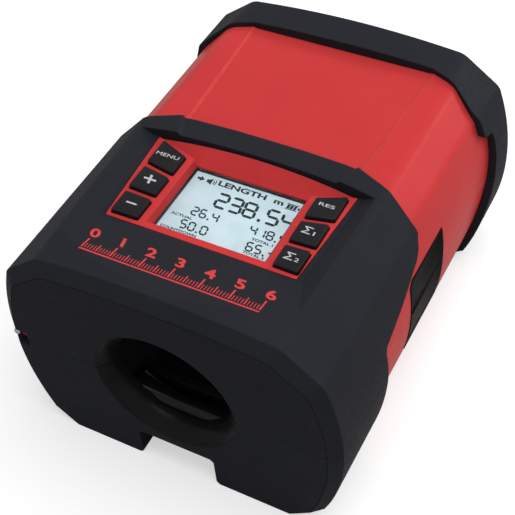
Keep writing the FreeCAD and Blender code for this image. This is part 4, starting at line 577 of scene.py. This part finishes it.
# the signs in the top row, each drawn about its own place, and the two ticks under the counts
signLook = {
    "row": 58.9, "arrowAt": -16.0, "hornAt": -12.5, "batteryAt": 15.1,
    "arrow": [(1.4, 0), (-0.1, 1.2), (-0.1, 0.5), (-1.2, 0.5), (-1.2, -0.5), (-0.1, -0.5), (-0.1, -1.2)],
    "horn": [(-1.3, -0.65), (-0.6, -0.65), (0.6, -1.4), (0.6, 1.4), (-0.6, 0.65), (-1.3, 0.65)],
    "waves": (1.1, 1.8), "waveAhead": 0.4, "waveThick": 0.35, "waveAngles": range(-40, 41, 16),
    "battery": [(0.0, -0.95, 0.95, 0.95), (1.15, -0.95, 2.1, 0.95), (2.3, -0.95, 3.25, 0.95),
                (-0.4, -1.3, 3.9, -1.05), (-0.4, 1.05, 3.9, 1.3), (3.65, -0.5, 4.3, 0.5)],
    "ticksAt": (-2.1, 5.2), "tick": [(0.0, 34.9), (0.4, 34.9), (0.55, 35.8), (0.2, 35.8)],
}


def bar(x0, y0, x1, y1, half):
    # one segment: a bar with pointed ends
    along = Vector((x1 - x0, y1 - y0)).normalized()
    across = Vector((-along.y, along.x)) * half
    start, end = Vector((x0, y0)), Vector((x1, y1))
    return [start, start + along * half - across, end - along * half - across, end,
            end - along * half + across, start + along * half + across]


def digits(words, left, foot, look):
    # seven-segment digits from a left end and a foot line, leaning to the right
    height, width, half = look["height"], look["width"], look["stroke"] / 2
    gap = half * displayLook["gap"]
    outlines, pen = [], 0.0
    for sign in words:
        if sign == ".":
            x, side = pen + (look["point"] - look["pitch"] + width) / 2, look["stroke"] * displayLook["dot"]
            outlines.append(oblong(x - side / 2, 0, x + side / 2, side))
            pen += look["point"]
            continue
        x0, x1 = pen + half, pen + width - half
        y0, y1, y2 = half, height / 2, height - half
        places = {
            "a": (x0 + gap, y2, x1 - gap, y2), "g": (x0 + gap, y1, x1 - gap, y1),
            "d": (x0 + gap, y0, x1 - gap, y0), "f": (x0, y1 + gap, x0, y2 - gap),
            "b": (x1, y1 + gap, x1, y2 - gap), "e": (x0, y0 + gap, x0, y1 - gap),
            "c": (x1, y0 + gap, x1, y1 - gap)}
        outlines += [bar(*places[letter], half) for letter in segmentsLit[sign]]
        pen += look["pitch"]
    return [[(left + x + look["slant"] * y, foot + y) for x, y in outline] for outline in outlines]


def signs(shiftX, shiftY):
    look = signLook
    y = front / mm + look["row"] + shiftY
    arrow = [(look["arrowAt"] + shiftX + right, y + up) for right, up in look["arrow"]]
    horn = [(look["hornAt"] + shiftX + right, y + up) for right, up in look["horn"]]
    waves = []
    x = look["hornAt"] + shiftX + look["waveAhead"]
    turns = [math.radians(angle) for angle in look["waveAngles"]]
    for radius in look["waves"]:
        outer = [(x + radius * math.cos(a), y + radius * math.sin(a)) for a in turns]
        inner = [(x + (radius - look["waveThick"]) * math.cos(a),
                  y + (radius - look["waveThick"]) * math.sin(a)) for a in turns]
        waves.append(outer + inner[::-1])
    x = look["batteryAt"] + shiftX
    battery = [oblong(x + x0, y + y0, x + x1, y + y1) for x0, y0, x1, y1 in look["battery"]]
    ticks = [[(at + right, front / mm + up) for right, up in look["tick"]] for at in look["ticksAt"]]
    return [arrow, horn] + waves + battery + ticks


def displayPieces():
    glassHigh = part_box("lcd_panel")[1]
    foot = glassHigh.z / mm
    head = foot + displayLook["film"]
    shiftX, shiftY = displayLook["sight"]    # the window bends the sight, so the print stands a little off
    outlines = []
    for words, left, line, size in displayLook["counts"]:
        outlines += digits(words, left + shiftX, front / mm + line + shiftY, displayLook[size])
    right = glassHigh.x / mm - displayLook["margin"]
    outlines = [outline for outline in outlines if max(x for x, y in outline) < right]
    finishPiece("displayDigits", slabs("displayDigits", outlines, foot, head), segmentInk,
                "lid")
    for index, (words, x, y, width, height) in enumerate(displayLook["labels"]):
        name = f"displayLabel{index}"
        mesh = lettering(name, words, (width, height), displayLook["film"], displayLook["slant"],
                         displayLook["heavy"])
        mesh.transform(Matrix.Translation(((x + shiftX) * mm, front + (y + shiftY) * mm, glassHigh.z)))
        finishPiece(name, mesh, segmentInk, "lid")
    finishPiece("displaySigns", slabs("displaySigns", signs(shiftX, shiftY), foot, head), segmentInk,
                "lid")


displayPieces()

# dark foam gasket between the window and its frame, die cut: dull charcoal
gasketFoam = moulded("charcoalFoamDieCut", {
    "colour": "#26282B", "shade": "#222427", "scuffedAndHighlit": "#3A3C3F", "scuffAndHighlight": 0.2, "polish": 0.0,
    "rough": (0.7, 0.85), "grain": 0.2, "depth": 0.3, "flow": 3.0, "patch": 2.0, "round": 0.05})
gasketLook = {"gap": 0.01, "skin": 0.08, "lip": 0.45, "lipWall": 0.12, "under": 0.03}


def gasket():
    # a skirt in the gap round the window, and a lip that reaches under the window's rim
    low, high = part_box("display_lens")
    sideOut = gasketLook["gap"] + gasketLook["skin"]
    lipTop = low.z - gasketLook["under"] * mm
    shape = bmesh.new()
    for foot, head, inset in ((lipTop - gasketLook["lipWall"] * mm, lipTop, gasketLook["lip"]),
                              (lipTop, high.z, -gasketLook["gap"])):
        loops = []
        for grow in (sideOut, -inset):
            rim = oblong(low.x - grow * mm, low.y - grow * mm, high.x + grow * mm, high.y + grow * mm)
            loops += [[shape.verts.new((x, y, z)) for x, y in rim] for z in (foot, head)]
        for first, second in ((0, 1), (1, 3), (3, 2), (2, 0)):
            wall(shape, loops[first], loops[second])
    finishPiece("windowGasket", meshFrom("windowGasket", shape), gasketFoam, "lid")


gasket()
print("display made")

# near and far are two points of the sloping top, as a place from the inlet face and a height
scaleLook = {
    "span": 60, "left": -30.0, "foot": 12.6, "near": (5.0, 85.5), "far": (29.3, 80.6), "print": 0.03,
    "stroke": {10: 0.55, 5: 0.42, 1: 0.26}, "tick": {10: 4.4, 5: 3.2, 1: 2.2},
    "line": {"out": 0.3, "low": -1.1, "high": -0.5},
    "digit": 4.2, "digitFoot": 5.4, "slant": -0.25, "heavy": 0.03,
}


def printedScale():
    # a plain ruler in millimetres on the sloping top, in the place in front of the window
    look, line = scaleLook, scaleLook["line"]
    (nearY, nearZ), (farY, farZ) = look["near"], look["far"]
    slope = math.atan2(farZ - nearZ, farY - nearY)
    lay = Matrix.Translation((0, front + nearY * mm, nearZ * mm)) @ Matrix.Rotation(slope, 4, "X")
    start = (look["foot"] - nearY) / math.cos(slope)
    ticks = [oblong(look["left"] - line["out"], start + line["low"],
                    look["left"] + look["span"] + line["out"], start + line["high"])]
    for step in range(look["span"] + 1):
        kind = 10 if step % 10 == 0 else 5 if step % 5 == 0 else 1
        half, x = look["stroke"][kind] / 2, look["left"] + step
        ticks.append(oblong(x - half, start, x + half, start + look["tick"][kind]))
    mesh = slabs("printedScale", ticks, 0.0, look["print"])
    mesh.transform(lay)
    finishPiece("printedScale", mesh, scaleInk, "lid")
    for count in range(look["span"] // 10 + 1):
        name = f"scaleNumber{count}"
        mesh = lettering(name, str(count), (None, look["digit"]), look["print"], look["slant"],
                         look["heavy"])
        mesh.transform(lay @ Matrix.Translation((
            (look["left"] + 10 * count) * mm, (start + look["digitFoot"] + look["digit"] / 2) * mm, 0)))
        finishPiece(name, mesh, scaleInk, "lid")


printedScale()
print("printed scale made")

# painted shade in the mould's parting line round the front, where the groove falls dark: dark and dull
partingShade = ink("paintedShadeInPartingLine", {
    "colour": "#141416", "shade": "#19191B", "spot": 0.6, "specular": 0.02})
# flat is how squarely the front faces forward, and turned how the faces behind its rim do
partingLook = {"wide": 0.32, "raised": 0.015, "flat": -0.999, "turned": (-0.98, -0.2)}


def partingLine(node, body):
    # a thin line of painted shade laid inside the rim of the flat front, edge by edge
    shape = welded(node, flat=True)
    least, most = partingLook["turned"]
    strips = []
    for edge in shape.edges:
        faces = sorted(edge.link_faces, key=lambda face: face.normal.y)
        if len(faces) != 2 or faces[0].normal.y > partingLook["flat"]:
            continue
        if not least < faces[1].normal.y < most:
            continue
        start, end = (vertex.co / mm for vertex in edge.verts)
        along = (end - start).normalized()
        inward = along.cross(Vector((0, 1, 0)))
        if inward.dot(faces[0].calc_center_median() / mm - start) < 0:
            inward = -inward
        inward *= partingLook["wide"]
        strips.append([(corner.x, corner.z) for corner in (start, end, end + inward, start + inward)])
    shape.free()
    mesh = slabs(node + "PartingLine", strips, 0.0, partingLook["raised"])
    mesh.transform(Matrix(((1, 0, 0, 0), (0, 0, -1, front), (0, 1, 0, 0), (0, 0, 0, 1))))
    finishPiece(node + "PartingLine", mesh, partingShade, body)


partingLine("front_cap_upper", "lid")
partingLine("front_cap_lower", "lower_half")
print("parting lines made")


# black polycarbonate grips, moulded: a frame round a sunken field, both of one dull finish
gripPlastic = moulded("blackPolycarbonateMoulded", {
    "colour": "#0D0E0F", "shade": "#0B0C0D", "scuffedAndHighlit": "#2A2B2E", "scuffAndHighlight": 0.4, "polish": 0.1,
    "rough": (0.3, 0.4), "grain": 0.3, "depth": 0.08, "flow": 8.0, "patch": 3.0, "round": 0.2,
    "specular": 0.008})
gripLook = {"frame": 0.9, "slope": 0.4, "sink": 0.18, "facing": 0.75, "smooth": 30}


def gripPiece(half, body):
    node = half + "_grip"
    shape = welded(node)
    middle = sum(vertex.co.x for vertex in shape.verts) / len(shape.verts)
    outer = [face for face in shape.faces
             if face.normal.x > gripLook["facing"] and face.calc_center_median().x > middle]
    bmesh.ops.inset_region(shape, faces=outer, thickness=gripLook["frame"] * mm, depth=0.0)
    bmesh.ops.inset_region(shape, faces=outer, thickness=gripLook["slope"] * mm,
                           depth=-gripLook["sink"] * mm)
    piece = finishPiece(half + "GripPad", meshFrom(node + "Pad", shape), gripPlastic, body,
                        gripLook["smooth"])
    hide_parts(node)


gripPiece("upper", "lid")
gripPiece("lower", "lower_half")
print("grips made")


def turnedShape(shape, rings, turn, count=48, hollow=False):
    # rings of (height, radius), where a radius may depend on the angle; a hollow one closes on itself
    loops = []
    for height, radius in rings:
        loop = []
        for step in range(count):
            angle = 2 * math.pi * step / count
            reach = radius(angle) if callable(radius) else radius
            loop.append(shape.verts.new(turn @ Vector((
                reach * math.cos(angle) * mm, reach * math.sin(angle) * mm, height * mm))))
        loops.append(loop)
    for first, second in zip(loops, loops[1:] + loops[:1] if hollow else loops[1:]):
        wall(shape, first, second)
    if not hollow:
        shape.faces.new(list(reversed(loops[0])))
        shape.faces.new(loops[-1])


def islands(node):
    # the boxes of the separate solids of one node, in the order of their first points
    shape = welded(node)
    done, boxes = set(), []
    for start in shape.verts:
        if start in done:
            continue
        done.add(start)
        pile, group = [start], []
        while pile:
            vertex = pile.pop()
            group.append(vertex.co.copy())
            for edge in vertex.link_edges:
                other = edge.other_vert(vertex)
                if other not in done:
                    done.add(other)
                    pile.append(other)
        boxes.append((Vector([min(co[axis] for co in group) for axis in range(3)]),
                      Vector([max(co[axis] for co in group) for axis in range(3)])))
    shape.free()
    return boxes


# radii of the head, the shank and the corners of the hexagon drive, and the head's height
footScrew = {"head": 3.0, "headWall": 1.6, "shank": 1.5, "drive": 1.5}
trayScrew = {"head": 2.2, "headWall": 1.1, "shank": 1.3, "drive": 1.1}
smallScrew = {"head": 1.9, "headWall": 1.2, "shank": 1.0, "drive": 0.95}
# the thread's steps in millimetres, and the head's rim as pairs of a height and how far in it stands
threadLook = {
    "pitch": 0.5, "depth": 0.09, "first": 0.25, "flank": 0.22, "crest": 0.3, "point": 0.3,
    "pointIn": 0.35, "driveDeep": 0.55, "cornerToFlat": 1.155, "smooth": 30,
    "rim": [(0.0, 0.35), (0.12, 0.1), (0.35, 0.0)]}


def hexagon(corner):
    # the reach of a hexagon at any angle
    return lambda angle: (corner / threadLook["cornerToFlat"]
                          / math.cos((angle + math.pi / 6) % (math.pi / 3) - math.pi / 6))


def screwPiece(node, name, look, up, body):
    # every screw of one node: hexagon drive, rounded head rim and thread
    thread = threadLook
    root, drive = look["shank"] - thread["depth"], hexagon(look["drive"])
    shape = bmesh.new()
    for low, high in islands(node):
        length = (high.z - low.z) / mm
        turns = int((length - look["headWall"]) / thread["pitch"])
        rings = [(look["headWall"] * thread["driveDeep"], drive), (0.0, drive)]
        rings += [(height, look["head"] - inward) for height, inward in thread["rim"]]
        rings += [(look["headWall"], look["head"]), (look["headWall"], root)]
        for step in range(turns - 1):
            foot = look["headWall"] + (step + thread["first"]) * thread["pitch"]
            rings += [(foot, root), (foot + thread["flank"], look["shank"]),
                      (foot + thread["crest"], look["shank"])]
        rings += [(length - thread["point"], root), (length, look["shank"] - thread["pointIn"])]
        middle = (low + high) / 2
        turn = Matrix.Translation((middle.x, middle.y, high.z if up else low.z))
        if up:
            turn = turn @ Matrix.Rotation(math.pi, 4, "X")
        turnedShape(shape, rings, turn)
    piece = finishPiece(name, meshFrom(node + "Turned", shape), zincSteel, body,
                        thread["smooth"])
    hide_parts(node)


screwPiece("foot_screws", "footScrewsTurned", footScrew, False, "lower_half")
screwPiece("lower_tray_screws", "lowerTrayScrewsTurned", trayScrew, True, "lower_half")
screwPiece("upper_tray_screws", "upperTrayScrewsTurned", trayScrew, False, "lid")
screwPiece("board_screws", "boardScrewsTurned", smallScrew, False, "lid")
screwPiece("battery_door_screws", "batteryDoorScrewsTurned", smallScrew, False, "lid")
print("screws made")

pinLook = {"proud": 1.9, "chamfer": 0.35, "smooth": 30}


def hingePin():
    # the steel pin with chamfered ends that stand proud of the last knuckles
    low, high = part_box("hinge_pin")
    chamfer, proud = pinLook["chamfer"], pinLook["proud"]
    radius = (high.z - low.z) / 2 / mm
    length = (high.y - low.y) / mm + 2 * proud
    shape = bmesh.new()
    turn = Matrix.Translation(((low.x + high.x) / 2, low.y - proud * mm, (low.z + high.z) / 2))
    turnedShape(shape, [(0.0, radius - chamfer), (chamfer, radius), (length - chamfer, radius),
                        (length, radius - chamfer)], turn @ Matrix.Rotation(-math.pi / 2, 4, "X"))
    piece = finishPiece("hingePinTurned", meshFrom("hingePinTurned", shape), groundPin, "lower_half",
                        pinLook["smooth"])
    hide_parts("hinge_pin")


hingePin()
print("hinge pin made")


# nitrile tyre, ground and knurled for grip: dull black
tyreRubber = moulded("blackNitrileKnurled", {
    "colour": "#1B1B1C", "shade": "#19191A", "scuffedAndHighlit": "#3A3A3B", "scuffAndHighlight": 0.5, "polish": 0.05,
    "rough": (0.6, 0.75), "grain": 0.2, "depth": 0.3, "flow": 4.0, "patch": 2.0, "round": 0.15})
tyreLook = {"teeth": 60, "toothPoints": 6, "depth": 0.3, "steep": 1.6, "shoulder": 0.5, "smooth": 25}


def tyrePiece():
    low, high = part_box("wheel_tyre")
    hubLow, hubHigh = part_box("wheel_hub")
    outer, half = (high.z - low.z) / 2 / mm, (high.x - low.x) / 2 / mm
    inner, shoulder = (hubHigh.z - hubLow.z) / 2 / mm, tyreLook["shoulder"]

    def knurl(angle):
        tooth = abs((angle * tyreLook["teeth"] / (2 * math.pi)) % 1 - 0.5) * 2
        return outer - tyreLook["depth"] * max(0.0, tooth * tyreLook["steep"] - (tyreLook["steep"] - 1))

    shape = bmesh.new()
    turnedShape(shape, [(-half, inner), (-half, outer - shoulder), (shoulder - half, knurl),
                        (half - shoulder, knurl), (half, outer - shoulder), (half, inner)],
                Matrix.Translation((low + high) / 2) @ Matrix.Rotation(math.pi / 2, 4, "Y"),
                tyreLook["teeth"] * tyreLook["toothPoints"], hollow=True)
    piece = finishPiece("tyreKnurled", meshFrom("tyreKnurled", shape), tyreRubber, "measuring_wheel",
                        tyreLook["smooth"])
    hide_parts("wheel_tyre")


tyrePiece()
print("tyre made")


# pale paper: near is where the glow for the eye starts to rise and far where it stops
floorLook = {"size": 6.0, "below": 0.02, "colour": "#C2C2C2", "near": 0.4, "far": 2.0, "glow": (0.54, 0.81)}
worldLook = {"light": 0.43, "backdrop": 1.0}
lampLook = {
    "backSoftbox": {"place": (0.60, 0.72, 0.48), "size": 0.36, "power": 4.1},
    "topSoftbox": {"place": (0.22, -0.02, 1.1), "size": 0.8, "power": 7.6},
    "target": (0, 0, 0.04),
}
cameraLook = {
    "lens": 81.29, "sensor": 36.0, "clip": (0.02, 20.0),
    "place": ((0.88398, -0.30124, 0.35753, 0.141355),
              (0.46228, 0.67741, -0.57221, -0.237204),
              (-0.06983, 0.67110, 0.73807, 0.333759),
              (0.0, 0.0, 0.0, 1.0)),
}


def stageFloor():
    bpy.ops.mesh.primitive_plane_add(size=floorLook["size"],
                                     location=(0, 0, cadLow.z - floorLook["below"] * mm))
    floor = bpy.context.object
    floor.name = "studioFloor"
    material = bpy.data.materials.new("paleStudioPaper")
    material.use_nodes = True
    tree = material.node_tree
    tree.nodes.clear()
    path = addNode(tree, "LightPath")
    seen = addNode(tree, "Math", {"operation": "MAXIMUM"}, i0=path.outputs["Is Camera Ray"],
                   i1=path.outputs["Is Transmission Ray"])
    coords = addNode(tree, "TexCoord")
    away = addNode(tree, "VectorMath", {"operation": "LENGTH"}, i0=coords.outputs["Object"])
    lift = addNode(tree, "MapRange", Value=away.outputs["Value"], From_Min=floorLook["near"],
                   From_Max=floorLook["far"], To_Min=floorLook["glow"][0], To_Max=floorLook["glow"][1])
    glow = addNode(tree, "Math", {"operation": "MULTIPLY"}, i0=seen, i1=lift)
    paper = addNode(tree, "BsdfDiffuse", Color=linear(floorLook["colour"]))
    light = addNode(tree, "Emission", Color=(1, 1, 1, 1), Strength=glow)
    both = addNode(tree, "AddShader", i0=paper, i1=light)
    addNode(tree, "OutputMaterial", Surface=both)
    floor.data.materials.append(material)


def studioWorld():
    # a soft grey light, and a white backdrop for the eye, for reflections and through the window
    world = bpy.data.worlds.new("paleStudio")
    bpy.context.scene.world = world
    world.use_nodes = True
    tree = world.node_tree
    tree.nodes.clear()
    path = addNode(tree, "LightPath")
    mirrored = addNode(tree, "Math", {"operation": "MAXIMUM"}, i0=path.outputs["Is Glossy Ray"],
                       i1=path.outputs["Is Transmission Ray"])
    seen = addNode(tree, "Math", {"operation": "MAXIMUM"}, i0=path.outputs["Is Camera Ray"], i1=mirrored)
    soft = addNode(tree, "Background", Color=(1, 1, 1, 1), Strength=worldLook["light"])
    white = addNode(tree, "Background", Color=(1, 1, 1, 1), Strength=worldLook["backdrop"])
    mixed = addNode(tree, "MixShader", i0=seen, i1=soft, i2=white)
    addNode(tree, "OutputWorld", Surface=mixed)


def areaLight(name, look):
    lamp = bpy.data.lights.new(name, "AREA")
    lamp.shape = "SQUARE"
    lamp.size = look["size"]
    lamp.energy = look["power"]
    holder = bpy.data.objects.new(name, lamp)
    holder.location = look["place"]
    away = Vector(look["place"]) - Vector(lampLook["target"])
    holder.rotation_euler = away.to_track_quat("Z", "Y").to_euler()
    bpy.context.scene.collection.objects.link(holder)


def studioCamera():
    camera = bpy.data.cameras.new("studioCamera")
    camera.lens = cameraLook["lens"]
    camera.sensor_width = cameraLook["sensor"]
    camera.clip_start, camera.clip_end = cameraLook["clip"]
    holder = bpy.data.objects.new("studioCamera", camera)
    holder.matrix_world = Matrix(cameraLook["place"])
    bpy.context.scene.collection.objects.link(holder)
    bpy.context.scene.camera = holder


stageFloor()
studioWorld()
for lampName in ("backSoftbox", "topSoftbox"):
    areaLight(lampName, lampLook[lampName])
studioCamera()
bpy.context.scene.view_settings.view_transform = "Standard"
print("stage, light and camera set")

bpy.context.view_layer.update()
